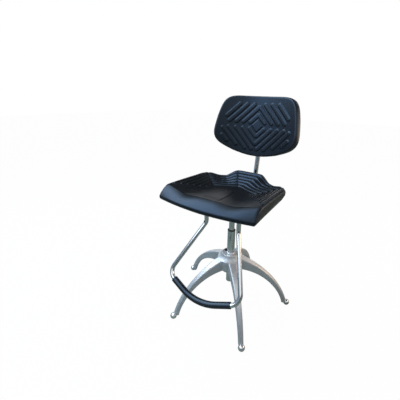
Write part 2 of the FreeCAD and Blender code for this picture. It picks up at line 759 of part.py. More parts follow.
rest_points = [tail, knee, upper, corner, middle, other_hand(corner), other_hand(upper), other_hand(knee),
               other_hand(tail)]
rest_radii = [size["footrest_top_bend"], size["footrest_side_bend"], size["footrest_corner_bend"],
              size["footrest_front_bend"], size["footrest_corner_bend"], size["footrest_side_bend"],
              size["footrest_top_bend"]]
rest_path = rounded_path(rest_points, rest_radii)
rest_outside = sweep(rest_path, rest_radius)
rest_inside = sweep(rest_path, rest_radius - size["footrest_tube_wall"])
rest_tube = rest_outside.cut(rest_inside)

# Each leg has a plug on the hollow side of its upper bend
plugs = []
for bend in (upper, other_hand(upper)):
    leg_up = Vector(0, 0, 1)
    leg_down = (down_slope(low_x, size["footrest_side_run"]) - upper).normalize()
    if bend.x < 0:
        leg_down = other_hand(leg_down)
    facing = (leg_up + leg_down).normalize()
    half_turn = facing.getAngle(leg_up)
    axis_point = bend + facing * (size["footrest_side_bend"] / math.sin(half_turn) - size["footrest_side_bend"])
    rest_tube = rest_tube.cut(rod(axis_point, facing, 2 * rest_radius, size["plug_shank_radius"]))
    shank = rod(axis_point, facing, rest_radius, size["plug_shank_radius"])
    cover = rod(axis_point, facing, rest_radius + size["plug_cover_rise"], size["plug_cover_radius"])
    plugs.append(shank.cut(rest_inside).fuse(cover.cut(rest_outside)))
feature("footrest_tube", rest_tube)
feature("tube_hole_plugs", Part.makeCompound(plugs))

sleeve_path = Part.Wire(rest_path.Edges[6:9])
feature("footrest_sleeve", tube(sleeve_path, size["sleeve_radius"], size["sleeve_radius"] - rest_radius))

clamps = []
strap = rest_radius + size["clamp_strap"]
slot_half = rest_radius * 0.8
for hand in (-1, 1):
    for reach in clamp_rows:
        back = reach - size["clamp_width"] / 2
        saddle = rod(Vector(hand * clamp_x, back, rest_top), Vector(0, 1, 0), size["clamp_width"], strap)
        tabs = Part.makeBox(2 * size["clamp_half_span"], size["clamp_width"], size["clamp_strap"],
                            Vector(hand * clamp_x - size["clamp_half_span"], back,
                                   housing_top - size["clamp_strap"]))
        above = Part.makeBox(100, 100, 20, Vector(hand * clamp_x - 50, reach - 50, housing_top))
        slot = Part.makeBox(2 * slot_half, 100, 20, Vector(hand * clamp_x - slot_half, reach - 50, rest_top))
        clamp = saddle.fuse(tabs).cut(above).cut(slot)
        clamp = clamp.cut(rod(Vector(hand * clamp_x, back - 5, rest_top), Vector(0, 1, 0), 60, rest_radius))
        for side in (-1, 1):
            at = Vector(hand * clamp_x + side * size["clamp_screw_offset"], reach, housing_top - 20)
            clamp = clamp.cut(rod(at, Vector(0, 0, 1), 40, size["clamp_screw_radius"]))
        clamps.append(clamp)
feature("footrest_clamps", Part.makeCompound(clamps))
feature("clamp_screws", Part.makeCompound([
    bolt(place, housing_top - size["clamp_strap"], size["clamp_screw_radius"], size["clamp_screw_head_radius"],
         size["clamp_screw_head_height"], bolt_top) for place in clamp_screw_places]))

# Back support bar: an upright tube that slides in a block in the housing

bar_radius = size["bar_radius"]
bar_z = size["bar_height"]
lean = math.radians(size["bar_lean"])
bar_up = Vector(0, math.sin(lean), math.cos(lean))
bar_forward = Vector(0, -math.cos(lean), math.sin(lean))
bar_corner = Vector(0, size["bar_back_reach"], bar_z)


def on_bar(height):
    """The point of the upright's axis at a height."""
    return bar_corner + bar_up * ((height - bar_z) / bar_up.z)


bar_start = Vector(0, size["bar_front_reach"], bar_z)
bar_end = on_bar(size["bar_top_height"])
bar_path = rounded_path([bar_start, bar_corner, bar_end], [size["bar_bend"]])
feature("back_bar", tube(bar_path, bar_radius, size["bar_wall"]))


def tube_cap(start, direction):
    """A plastic cap on a tube's end, with a plug that goes into the tube."""
    disc = rod(start, direction, size["cap_thickness"], bar_radius)
    plug = rod(start, direction * -1, size["cap_plug_length"], bar_radius - size["bar_wall"])
    return disc.fuse(plug)


feature("bar_top_cap", tube_cap(bar_end, bar_up))
feature("bar_front_cap", tube_cap(bar_start, Vector(0, -1, 0)))

block_rear = rear - wall
block_front = block_rear - size["bar_block_length"]
block_half = size["bar_block_half_width"]
bar_block = Part.makeBox(2 * block_half, size["bar_block_length"], housing_top - floor_top,
                         Vector(-block_half, block_front, floor_top))
bar_block = bar_block.cut(rod(Vector(0, block_front - 10, bar_z), Vector(0, 1, 0), 100,
                              bar_radius + size["running_gap"]))
bar_block = bar_block.cut(rod(Vector(0, size["depth_knob_reach"], floor_top - 5), Vector(0, 0, 1),
                              bar_z - floor_top, stud_hole))
feature("bar_guide_block", bar_block)


def knob(tip, direction, stud_length):
    """A lobed clamping knob: its stud starts at the tip and its head is at the far end."""
    stud = rod(tip, direction, stud_length, size["knob_stud_radius"])
    base = tip + direction * stud_length
    head = rod(base, direction, size["knob_thickness"], size["knob_radius"])
    head = head.makeFillet(size["knob_edge"], head.Edges)
    across_one = Vector(1, 0, 0)
    across_two = direction.cross(across_one)
    notch_reach = size["knob_radius"] + size["knob_notch_offset"]
    count = int(size["knob_lobes"])
    for k in range(count):
        angle = 2 * math.pi * (k + 0.5) / count
        centre = base + (across_one * math.cos(angle) + across_two * math.sin(angle)) * notch_reach
        notch = rod(centre - direction * 2, direction, size["knob_thickness"] + 4, size["knob_notch_radius"])
        head = head.cut(notch)
    return stud.fuse(head)


stud_tip = Vector(0, size["depth_knob_reach"], bar_z - bar_radius - size["knob_tip_gap"])
feature("depth_knob", knob(stud_tip, Vector(0, 0, -1), stud_tip.z - housing_bottom + size["knob_clearance"]))

# Carrier that slides on the upright and holds the backrest's tilt pin

carrier_centre = on_bar(size["carrier_height"])
tilt_centre = carrier_centre + bar_forward * size["tilt_pin_offset"]
carrier_half = size["carrier_half_width"]
carrier_back = bar_radius + size["carrier_back_wall"]


def carrier_frame():
    """Placement whose axes are across, backward and up along the upright."""
    return Placement(carrier_centre, Rotation(Vector(1, 0, 0), -size["bar_lean"]))


carrier = Part.makeBox(2 * carrier_half, carrier_back + size["tilt_pin_offset"], size["carrier_length"],
                       Vector(-carrier_half, -size["tilt_pin_offset"], -size["carrier_length"] / 2))
carrier.Placement = carrier_frame()
carrier = carrier.makeFillet(size["carrier_edge"], carrier.Edges)
lug = rod(tilt_centre - Vector(carrier_half, 0, 0), Vector(1, 0, 0), 2 * carrier_half, size["tilt_lug_radius"])
carrier = carrier.fuse(lug)
carrier = carrier.cut(rod(carrier_centre - bar_up * 60, bar_up, 120, bar_radius + size["running_gap"]))
carrier = carrier.cut(rod(tilt_centre - Vector(40, 0, 0), Vector(1, 0, 0), 80,
                          size["tilt_pin_radius"] + size["running_gap"]))
carrier = carrier.cut(rod(carrier_centre, bar_forward * -1, 60, stud_hole))
feature("back_carrier", carrier)

height_tip = carrier_centre - bar_forward * (bar_radius + size["knob_tip_gap"])
feature("height_knob", knob(height_tip, bar_forward * -1, size["carrier_back_wall"] + size["knob_clearance"]))

# Backrest: its cushion, and the bracket that hangs it on the tilt pin

back_frame = Placement(Vector(0, size["back_centre_reach"], size["back_centre_height"]),
                       Rotation(Vector(1, 0, 0), -size["back_tilt"]))
to_back = back_frame.inverse()
tilt_local = to_back.multVec(tilt_centre)
plate_face = size["back_thickness"] - size["back_recess_depth"]


# The right half of the outline, from the top down, as shares of the half width and of the
# rise above or the drop below the centre
BACK_OUTLINE = [
    (0, 1), (0.226, 0.997), (0.452, 0.988), (0.597, 0.970), (0.710, 0.922), (0.792, 0.836), (0.851, 0.709),
    (0.891, 0.552), (0.923, 0.373), (0.950, 0.187), (0.975, -0.032), (0.995, -0.223), (1, -0.350),
    (0.986, -0.475), (0.941, -0.595), (0.860, -0.698), (0.738, -0.785), (0.611, -0.853), (0.484, -0.909),
    (0.235, -0.977), (0, -1),
]


def back_outline(reach):
    """The cushion's outline as a wire in an upright plane at a distance from the hollow's axis.

    The side walls are square to the hollow, so a plane farther from the axis holds a wider outline.
    """
    hollow = size["back_hollow_radius"]
    right = []
    for across, up in BACK_OUTLINE:
        tall = size["back_top_rise"] if up > 0 else size["back_bottom_drop"]
        right.append((across * size["back_half_width"], up * tall))
    loop = right + [(-across, up) for across, up in reversed(right[1:-1])]
    points = []
    lengths = [0.0]
    for (across, up), (next_across, next_up) in zip(loop, loop[1:] + loop[:1]):
        widened = across * reach / math.sqrt(hollow ** 2 - across ** 2)
        points.append(Vector(widened, reach - hollow, up))
        lengths.append(lengths[-1] + math.hypot(next_across - across, next_up - up))
    curve = Part.BSplineCurve()
    curve.interpolate(Points=points, PeriodicFlag=True, Parameters=lengths)
    return Part.Wire([curve.toShape()])


def edges_at_radius(pad, radius):
    """The edges that lie on a cylinder about the cushion's hollow axis."""
    chosen = []
    for edge in pad.Edges:
        points = [edge.valueAt(edge.FirstParameter), edge.valueAt((edge.FirstParameter + edge.LastParameter) / 2)]
        away = [abs(math.hypot(point.x, point.y + size["back_hollow_radius"]) - radius) for point in points]
        if max(away) < 0.5:
            chosen.append(edge)
    return chosen


def back_cushion():
    """The cushion: a curved slab trimmed to the outline, with rounded edges, in its own frame."""
    hollow = size["back_hollow_radius"]
    thick = size["back_thickness"]
    half_slab = 300
    prism = Part.makeLoft([back_outline(hollow - 140), back_outline(hollow + 100)], True, True)
    axis = Vector(0, -hollow, -half_slab)
    slab = Part.makeCylinder(hollow + thick, 2 * half_slab, axis)
    slab = slab.cut(Part.makeCylinder(hollow, 2 * half_slab, axis))
    pad = slab.common(prism)
    pad = pad.makeFillet(size["back_front_edge"], edges_at_radius(pad, hollow))
    return pad.makeFillet(size["back_rear_edge"], edges_at_radius(pad, hollow + thick))


def flat_stroke(begin, end, width, low, high, depth_axis):
    """A straight stroke with round ends, as a prism from low to high along an axis."""
    along = (end - begin).normalize()
    side = along.cross(depth_axis).normalize() * (width / 2)
    cap = along * (width / 2)
    edges = [
        Part.LineSegment(begin + side, end + side).toShape(),
        Part.Arc(end + side, end + cap, end - side).toShape(),
        Part.LineSegment(end - side, begin - side).toShape(),
        Part.Arc(begin - side, begin - cap, begin + side).toShape(),
    ]
    face = Part.Face(Part.Wire(edges))
    face.translate(depth_axis * low)
    return face.extrude(depth_axis * (high - low))


def clip_span(first, last, inside, steps=160):
    """The part of a straight line where a test holds, as two points, or nothing."""
    points = [first + (last - first) * (k / float(steps)) for k in range(steps + 1)]
    kept = [point for point in points if inside(point)]
    if len(kept) < 2 or (kept[-1] - kept[0]).Length < size["back_rib_width"] * 0.8:
        return None
    return kept[0], kept[-1]


def in_upper_field(point):
    """Whether a point of the backrest's front lies where the upper ribs run."""
    side = size["back_rib_top_side"] - point.z * 0.10
    above_gap = point.z > size["back_rib_midline"] + size["back_rib_gap"]
    return above_gap and point.z < size["back_rib_top"] and 3 < abs(point.x) < side


def in_lower_field(point):
    """Whether a point of the backrest's front lies where the lower ribs run."""
    bottom = size["back_rib_bottom"] + max(0, abs(point.x) - 50) * 0.27
    below_gap = point.z < size["back_rib_midline"] - size["back_rib_gap"]
    return below_gap and point.z > bottom and 3 < abs(point.x) < size["back_rib_bottom_side"]


def back_rib_lines():
    """The backrest's ribs: pairs of runs that make nested diamonds, broken along the middle."""
    middle = size["back_rib_midline"]
    halves = [(1, size["back_rib_rings_above"], in_upper_field), (-1, size["back_rib_rings_below"], in_lower_field)]
    pairs = []
    for up, rings, inside in halves:
        for ring in range(int(rings)):
            across = size["back_rib_first_across"] + ring * size["back_rib_pitch_across"]
            rise = size["back_rib_first_rise"] + ring * size["back_rib_pitch_up"]
            apex = Vector(0, 0, middle + up * rise)
            spans = [clip_span(Vector(hand * across, 0, middle), apex, inside) for hand in (-1, 1)]
            pairs.append([span for span in spans if span])
    return pairs


def with_back_ribs(pad):
    """Adds the raised ribs and the middle diamond to the cushion's front."""
    depth = Vector(0, 1, 0)
    front, rear = -120, 20
    reach = size["back_diamond_reach"]
    middle = size["back_rib_midline"]
    corners = [Vector(reach, front, middle), Vector(0, front, middle + reach), Vector(-reach, front, middle),
               Vector(0, front, middle - reach), Vector(reach, front, middle)]
    strokes = [Part.Face(Part.makePolygon(corners)).extrude(depth * (rear - front))]
    for pair in back_rib_lines():
        joined = None
        for begin, end in pair:
            stroke = flat_stroke(begin, end, size["back_rib_width"], front, rear, depth)
            joined = joined.fuse(stroke) if joined else stroke
        if joined:
            strokes.append(joined)
    raised = pad.copy()
    raised.translate(depth * -size["back_rib_height"])
    return pad.fuse([raised.common(stroke) for stroke in strokes])


back_pad = with_back_ribs(back_cushion())
recess = Part.makeBox(2 * size["bracket_half_width"] + 4, 60, 2 * size["bracket_half_height"] + 4,
                      Vector(-size["bracket_half_width"] - 2, plate_face,
                             tilt_local.z - size["bracket_half_height"] - 2))
back_pad = back_pad.cut(recess)
screw_places = [Vector(hand * size["bracket_screw_across"], plate_face, tilt_local.z + up * size["bracket_screw_up"])
                for hand in (-1, 1) for up in (-1, 1)]
screw_radius = size["clamp_screw_radius"]
screw_bite = size["bracket_screw_bite"]
for place in screw_places:
    back_pad = back_pad.cut(rod(place, Vector(0, -1, 0), screw_bite + 2, screw_radius))
back_pad.Placement = back_frame.multiply(back_pad.Placement)
feature("backrest_cushion", back_pad)

bracket = Part.makeBox(2 * size["bracket_half_width"], size["bracket_thickness"], 2 * size["bracket_half_height"],
                       Vector(-size["bracket_half_width"], plate_face, tilt_local.z - size["bracket_half_height"]))
ear_inner = carrier_half + size["ear_gap"]
for hand in (-1, 1):
    low_x_ear = ear_inner if hand > 0 else -ear_inner - size["ear_thickness"]
    ear = rod(Vector(low_x_ear, tilt_local.y, tilt_local.z), Vector(1, 0, 0), size["ear_thickness"],
              size["ear_radius"])
    neck = Part.makeBox(size["ear_thickness"], tilt_local.y - plate_face, 2 * size["ear_radius"],
                        Vector(low_x_ear, plate_face, tilt_local.z - size["ear_radius"]))
    bracket = bracket.fuse(ear).fuse(neck)
bracket = bracket.cut(rod(Vector(-60, tilt_local.y, tilt_local.z), Vector(1, 0, 0), 120, size["tilt_pin_radius"]))
for place in screw_places:
    bracket = bracket.cut(rod(place, Vector(0, 1, 0), 10, screw_radius))
bracket.Placement = back_frame.multiply(bracket.Placement)
feature("backrest_bracket", bracket)

pin_half = ear_inner + size["ear_thickness"] + 2
feature("tilt_pin", rod(tilt_centre - Vector(pin_half, 0, 0), Vector(1, 0, 0), 2 * pin_half,
                        size["tilt_pin_radius"]))

bracket_screws = []
for place in screw_places:
    seat_of_head = place + Vector(0, size["bracket_thickness"], 0)
    head = Part.makeCylinder(size["bracket_screw_head_radius"], size["bracket_screw_head_height"], seat_of_head,
                             Vector(0, 1, 0))
    head = head.cut(hexagon_head(seat_of_head + Vector(0, 1.5, 0), Vector(0, 1, 0),
                                 size["bracket_screw_socket"], size["bracket_screw_head_height"]))
    screw = head.fuse(rod(seat_of_head, Vector(0, -1, 0), size["bracket_thickness"] + screw_bite, screw_radius))
    screw.Placement = back_frame.multiply(screw.Placement)
    bracket_screws.append(screw)
feature("bracket_screws", Part.makeCompound(bracket_screws))

# Seat cushion: lofted through side views from one edge to the other. Its hollow is an upturned
# pyramid without a tip: side, slanting and hump faces fall from the rim to the floor.

rim_corner = Vector(size["seat_rim_across"], size["seat_rim_corner_reach"], 0)
floor_corner = Vector(size["seat_floor_across"], size["seat_floor_corner_reach"], 0)
rim_hump = Vector(size["seat_rim_hump_across"], size["seat_rim_hump_reach"], 0)
floor_hump = Vector(0, size["seat_floor_hump_reach"], 0)
slant_along = (rim_hump - rim_corner).normalize()
slant_inwards = Vector(-slant_along.y, slant_along.x, 0)
slant_width = slant_inwards.dot(floor_corner - rim_corner)


def smooth_share(value, begin, end):
    """Rises smoothly from 0 to 1 between two values."""
    share = min(1.0, max(0.0, (value - begin) / (end - begin)))
    return share * share * (3 - 2 * share)


def hollow_shares(x, y):
    """How far a point is from rim (0) to floor (1) on the side, the slanting and the hump's face."""
    side = (rim_corner.x - abs(x)) / (rim_corner.x - floor_corner.x)
    slant = slant_inwards.dot(Vector(abs(x), y, 0) - rim_corner) / slant_width
    hump = (rim_hump.y - y) / (rim_hump.y - floor_hump.y)
    return side, slant, hump


def side_rim_height(y):
    """The height of the side rim, which falls from the front to the back."""
    fall = size["seat_side_front_height"] - size["seat_side_rear_height"]
    return size["seat_side_front_height"] - fall * smooth_share(y, -260, 170)


def rim_height(x, y, side, slant, hump):
    """The height of the rim above the face that a point is on."""
    if hump <= min(side, slant):
        return size["seat_hump_height"]
    if side <= slant:
        return side_rim_height(y)
    share = min(1.0, max(0.0, slant))
    corner = rim_corner + (floor_corner - rim_corner) * share
    end = rim_hump.x * (1 - share)
    along = (corner.x - abs(x)) / (corner.x - end)
    dip = size["seat_dip_height"]
    from_side = side_rim_height(corner.y)
    height = from_side + (dip - from_side) * smooth_share(along, 0, 0.45)
    return height + (size["seat_hump_height"] - dip) * smooth_share(along, 0.56, 0.98)


def floor_height(x, y):
    """The height of the hollow's floor, which climbs to the front ridge through two wells."""
    well = size["seat_well_depth"] * (smooth_share(abs(x), 30, 110) - smooth_share(abs(x), 130, 200))
    climb_start = 20
    forward = max(0.0, climb_start - y) / (climb_start + size["seat_ridge_reach"])
    climb = size["seat_ridge_height"] - well - size["seat_floor_height"]
    return size["seat_floor_height"] + climb * forward ** 1.7


def seat_top(x, y):
    """The height of the seat's upper side without its ribs."""
    side, slant, hump = hollow_shares(x, y)
    share = min(1.0, max(0.0, min(side, slant, hump)))
    floor = floor_height(x, y)
    return floor + (rim_height(x, y, side, slant, hump) - floor) * (1 - share) ** 1.2


def flared(across, y, z):
    """A point of a side view; the seat widens a little from front to back."""
    return Vector(across * (1 + size["seat_flare"] * (y + size["seat_front_reach"]) / 340), y, z)


def seat_section(across, inset):
    """One side view of the seat at a distance from its middle, drawn in by an inset all round."""
    a = abs(across)
    edge = size["seat_half_width"]
    share = a / edge
    lip_y = -size["seat_front_reach"] + size["seat_front_bulge"] * share ** 2 + inset
    corner = size["seat_back_corner"] / 2
    back_y = (size["seat_back_reach"] - size["seat_back_curve"] * smooth_share(a, 40, 250)
              - corner * smooth_share(a, 190, edge - 5) - corner * smooth_share(a, edge - 20, edge) ** 2 - inset)
    under = plate_top - 2 + (size["seat_underside_rise"] + 2) * smooth_share(a, 160, edge - 5) + inset
    lip = size["seat_lip_height"] + 2 * share + inset
    nose = lip + size["seat_nose_rise"] - inset
    ridge_y = lip_y + size["seat_roll_depth"]
    crest_radius = size["seat_crest_radius"]
    crest_y = back_y - crest_radius

    def top_point(y):
        height = seat_top(flared(across, y, 0).x, y) - inset
        return flared(across, y, height)

    ridge = top_point(ridge_y)
    crest = top_point(crest_y)
    roll_height = (ridge.z + nose) / 2 + size["seat_roll_bulge"]
    lip_low = flared(across, lip_y + 5, lip)
    lip_middle = flared(across, lip_y, lip + 6)
    lip_nose = flared(across, lip_y + 0.5, nose)
    roll_middle = flared(across, lip_y + size["seat_roll_depth"] * 0.44, roll_height)
    crest_middle = flared(across, back_y - crest_radius * 0.3, crest.z - crest_radius * 0.3)
    back_top = flared(across, back_y, crest.z - crest_radius)
    back_low = flared(across, back_y - 6, under + 8)
    under_back = flared(across, back_y - 45, under)
    under_front = flared(across, lip_y + 90, under)
    top_points = [top_point(ridge_y + (crest_y - ridge_y) * step) for step in TOP_STEPS]
    top = Part.BSplineCurve()
    top.interpolate(Points=top_points, Parameters=TOP_STEPS)
    return Part.Wire([
        Part.Arc(lip_low, lip_middle, lip_nose).toShape(),
        Part.Arc(lip_nose, roll_middle, ridge).toShape(),
        top.toShape(),
        Part.Arc(crest, crest_middle, back_top).toShape(),
        Part.LineSegment(back_top, back_low).toShape(),
        Part.LineSegment(back_low, under_back).toShape(),
        Part.LineSegment(under_back, under_front).toShape(),
        Part.LineSegment(under_front, lip_low).toShape(),
    ])


TOP_STEPS = [k / 18.0 for k in range(19)]
INNER_STATIONS = [0.0, 0.07, 0.14, 0.21, 0.28, 0.35, 0.43, 0.51, 0.59, 0.67, 0.75, 0.82, 0.89, 0.93, 0.97, 1.0]
EDGE_ANGLES = [30, 60, 90]

side_edge = size["seat_side_edge"]
inner_width = size["seat_half_width"] - side_edge
right_side = [(share * inner_width, 0.0) for share in INNER_STATIONS]
for degrees in EDGE_ANGLES:
    angle = math.radians(degrees)
    right_side.append((inner_width + side_edge * math.sin(angle), side_edge * (1 - math.cos(angle))))
left_side = [(-across, inset) for across, inset in reversed(right_side[1:])]
sections = [seat_section(across, inset) for across, inset in left_side + right_side]
seat = Part.makeLoft(sections, True, False)
seat = seat.cut(Part.makeBox(600, 700, 100, Vector(-300, -350, plate_top - 100)))


def seat_rib_lines():
    """The seat's ribs: open rings that step down the hollow's faces from the rim to the floor."""
    rings = []
    for ring in range(int(size["seat_rib_count"])):
        share = size["seat_rib_first"] + size["seat_rib_step"] * ring
        corner = rim_corner + (floor_corner - rim_corner) * share
        hump = rim_hump + (floor_hump - rim_hump) * share
        front = Vector(corner.x, -size["seat_rib_front_start"] + size["seat_rib_front_run"] * share, 0)
        right = [front, corner, hump]
        rings.append([Vector(-point.x, point.y, 0) for point in right] + list(reversed(right)))
    return rings


up = Vector(0, 0, 1)
seat_strokes = []
for ring in seat_rib_lines():
    for begin, end in zip(ring, ring[1:]):
        seat_strokes.append(flat_stroke(begin, end, size["seat_rib_width"], plate_top + 6, 800, up))
raised_seat = seat.copy()
raised_seat.translate(Vector(0, 0, size["seat_rib_height"]))
ring_solids = []
strokes_per_ring = 5
for first in range(0, len(seat_strokes), strokes_per_ring):
    joined = seat_strokes[first]
    for stroke in seat_strokes[first + 1:first + strokes_per_ring]:
        joined = joined.fuse(stroke)
    ring_solids.append(joined)
seat_ribs = raised_seat.common(Part.makeCompound(ring_solids))
seat = seat.fuse(seat_ribs.Solids)
for place in bolt_places:
    seat = seat.cut(rod(Vector(place.x, place.y, plate_top - 5), up, 5 + size["bolt_bite"], size["bolt_radius"]))
for place in clamp_screw_places:
    seat = seat.cut(rod(Vector(place.x, place.y, plate_top - 5), up, 5 + size["bolt_bite"],
                        size["clamp_screw_radius"]))
feature("seat_cushion", seat)

# Checks and writing

doc.recompute()
for obj in doc.Objects:
    bad = [state for state in obj.State if state in ("Invalid", "Error")]
    if bad:
        raise RuntimeError("%s did not build: %s" % (obj.Label, bad))
for obj in nodes:
    shape = obj.Shape
    if shape.isNull() or not shape.isValid() or not shape.Solids:
        raise RuntimeError("%s has no valid solid" % obj.Label)
    shape.exportStep("parts/%s.step" % obj.Label)
    print("%-20s solids %d volume %.0f" % (obj.Label, len(shape.Solids), shape.Volume))
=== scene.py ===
# %% [markdown]
# # A high work chair
#
# This lesson dresses a chair whose metal and plastic parts already exist as an exact model.
# The model is loaded as a fixed frame, and nothing in it is moved. Blender adds what an exact
# model can't give: the moulded foam of the seat and the backrest, the finish of every surface,
# the light and the camera.

import json
import math

import bpy
from mathutils import Matrix, Vector


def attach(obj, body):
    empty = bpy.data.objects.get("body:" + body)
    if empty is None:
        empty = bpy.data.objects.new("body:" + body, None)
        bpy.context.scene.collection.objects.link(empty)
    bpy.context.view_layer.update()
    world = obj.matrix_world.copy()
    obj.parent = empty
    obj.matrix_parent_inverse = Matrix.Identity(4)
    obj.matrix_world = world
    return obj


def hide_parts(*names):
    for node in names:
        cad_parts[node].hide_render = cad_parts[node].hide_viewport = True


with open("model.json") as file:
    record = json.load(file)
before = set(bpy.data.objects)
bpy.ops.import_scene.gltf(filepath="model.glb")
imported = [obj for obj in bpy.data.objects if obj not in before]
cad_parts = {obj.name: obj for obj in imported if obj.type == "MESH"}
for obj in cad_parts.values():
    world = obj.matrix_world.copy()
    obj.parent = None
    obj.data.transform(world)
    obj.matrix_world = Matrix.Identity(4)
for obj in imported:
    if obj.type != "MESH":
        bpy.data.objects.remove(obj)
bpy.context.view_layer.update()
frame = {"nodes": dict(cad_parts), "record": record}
scene = bpy.context.scene

# %% [markdown]
# ## The camera
#
# The photograph was taken from the front and a little to the sitter's left, from the height of
# the backrest's top, looking down. The camera is described the way a photographer would: how far
# round it stands, how high it looks from, how much it leans, and how far away it is.

# %% Place the camera
CAMERA_AROUND = math.radians(29.105)
CAMERA_ABOVE = math.radians(26.518)
CAMERA_LEAN = math.radians(1.969)
CAMERA_DISTANCE = 1.21107
CAMERA_SIDE_STEP = -0.02177
CAMERA_AIM_HEIGHT = 0.58869
IMAGE_SIDE = 400
FOCAL_LENGTH_IN_PIXELS = 234.202
CENTRE_PIXEL = (228.171, 212.506)
SENSOR_WIDTH = 36.0
NEAREST_SEEN = 0.05

level_right = Vector((math.cos(CAMERA_AROUND), math.sin(CAMERA_AROUND), 0))
camera_back = Vector((
    math.sin(CAMERA_AROUND) * math.cos(CAMERA_ABOVE),
    -math.cos(CAMERA_AROUND) * math.cos(CAMERA_ABOVE),
    math.sin(CAMERA_ABOVE),
))
level_up = camera_back.cross(level_right)
camera_right = level_right * math.cos(CAMERA_LEAN) + level_up * math.sin(CAMERA_LEAN)
camera_up = level_up * math.cos(CAMERA_LEAN) - level_right * math.sin(CAMERA_LEAN)

camera_data = bpy.data.cameras.new("photo_camera")
camera_data.sensor_width = SENSOR_WIDTH
camera_data.lens = SENSOR_WIDTH * FOCAL_LENGTH_IN_PIXELS / IMAGE_SIDE
camera_data.shift_x = (IMAGE_SIDE / 2 - CENTRE_PIXEL[0]) / IMAGE_SIDE
camera_data.shift_y = (CENTRE_PIXEL[1] - IMAGE_SIDE / 2) / IMAGE_SIDE
camera_data.clip_start = NEAREST_SEEN
camera = bpy.data.objects.new("photo_camera", camera_data)
turn = Matrix((camera_right, camera_up, camera_back)).transposed()
aim = level_right * CAMERA_SIDE_STEP + Vector((0, 0, CAMERA_AIM_HEIGHT))
camera.matrix_world = Matrix.Translation(aim + camera_back * CAMERA_DISTANCE) @ turn.to_4x4()
scene.collection.objects.link(camera)
scene.camera = camera
print("the lens is", round(camera_data.lens, 2), "mm")

# %% [markdown]
# ## Writing materials as sums
#
# A material is a network of nodes. Drawing it by hand is slow to read in a script, so one small
# class wraps a socket and lets Python's own signs add the Math nodes: `1 - mask` or
# `grain * 0.3 + wear`. Every other node comes from one method, which takes the node's type, its
# settings and the values or links of its sockets.

# %% A socket that can be added and multiplied
class Wire:
    """The output of a node, with arithmetic."""

    def __init__(self, network, socket):
        self.network = network
        self.socket = socket

    def calculate(self, operation, first, second):
        return self.network.node("ShaderNodeMath", {"operation": operation}, {0: first, 1: second})

    def __add__(self, other):
        return self.calculate("ADD", self, other)

    def __radd__(self, other):
        return self.calculate("ADD", other, self)

    def __sub__(self, other):
        return self.calculate("SUBTRACT", self, other)

    def __rsub__(self, other):
        return self.calculate("SUBTRACT", other, self)

    def __mul__(self, other):
        return self.calculate("MULTIPLY", self, other)

    def __rmul__(self, other):
        return self.calculate("MULTIPLY", other, self)


# %% A network that is built node by node
class Network:
    """The nodes of a material or of the world."""

    def __init__(self, tree):
        self.tree = tree

    def node(self, kind, settings=None, inputs=None, output=0):
        """Adds a node of any kind, sets it up, and returns one of its outputs."""
        made = self.tree.nodes.new(kind)
        for name, value in (settings or {}).items():
            setattr(made, name, value)
        for key, value in (inputs or {}).items():
            if isinstance(value, Wire):
                self.tree.links.new(value.socket, made.inputs[key])
            else:
                made.inputs[key].default_value = value
        return Wire(self, made.outputs[output])


# %% A material that is built step by step
class Finish(Network):
    """A material with one main shader, and short ways to add what this chair needs."""

    def __init__(self, name):
        self.material = bpy.data.materials.new(name)
        self.material.use_nodes = True
        super().__init__(self.material.node_tree)
        self.shader = self.tree.nodes["Principled BSDF"]

    def place(self):
        """Where a point lies on the piece, in metres."""
        return self.node("ShaderNodeTexCoord", output="Object")

    def noise(self, scale, detail, roughness):
        """A cloudy pattern; scale counts its patches per metre."""
        inputs = {"Vector": self.place(), "Scale": scale, "Detail": detail, "Roughness": roughness}
        return self.node("ShaderNodeTexNoise", None, inputs, "Fac")

    def ramp(self, value, zero_at, one_at):
        """A mask that goes smoothly from 0 to 1 between two levels of a value."""
        return self.node("ShaderNodeMapRange", {"interpolation_type": "SMOOTHSTEP"},
                         {"Value": value, "From Min": zero_at, "From Max": one_at}, "Result")

    def blend(self, mask, base, marked):
        """A base colour that gives way to another where the mask nears 1."""
        return self.node("ShaderNodeMix", {"data_type": "RGBA"},
                         {"Factor": mask, 6: base, 7: marked}, 2)

    def bump(self, height, strength, distance, under=None):
        """Small relief in the way light is reflected, over the relief of another bump if given."""
        inputs = {"Height": height, "Strength": strength, "Distance": distance}
        if under:
            inputs["Normal"] = under
        return self.node("ShaderNodeBump", None, inputs, "Normal")

    def fixed(self, **values):
        """Sets sockets of the main shader that are the same all over."""
        for name, value in values.items():
            self.shader.inputs[name.replace("_", " ")].default_value = value

    def feed(self, **wires):
        """Links sockets of the main shader."""
        for name, wire in wires.items():
            self.tree.links.new(wire.socket, self.shader.inputs[name.replace("_", " ")])
        print(self.material.name, "has", len(self.tree.nodes), "nodes")


def colour(red, green, blue):
    """A colour as Blender's sockets take it, fully opaque."""
    return (red, green, blue, 1.0)
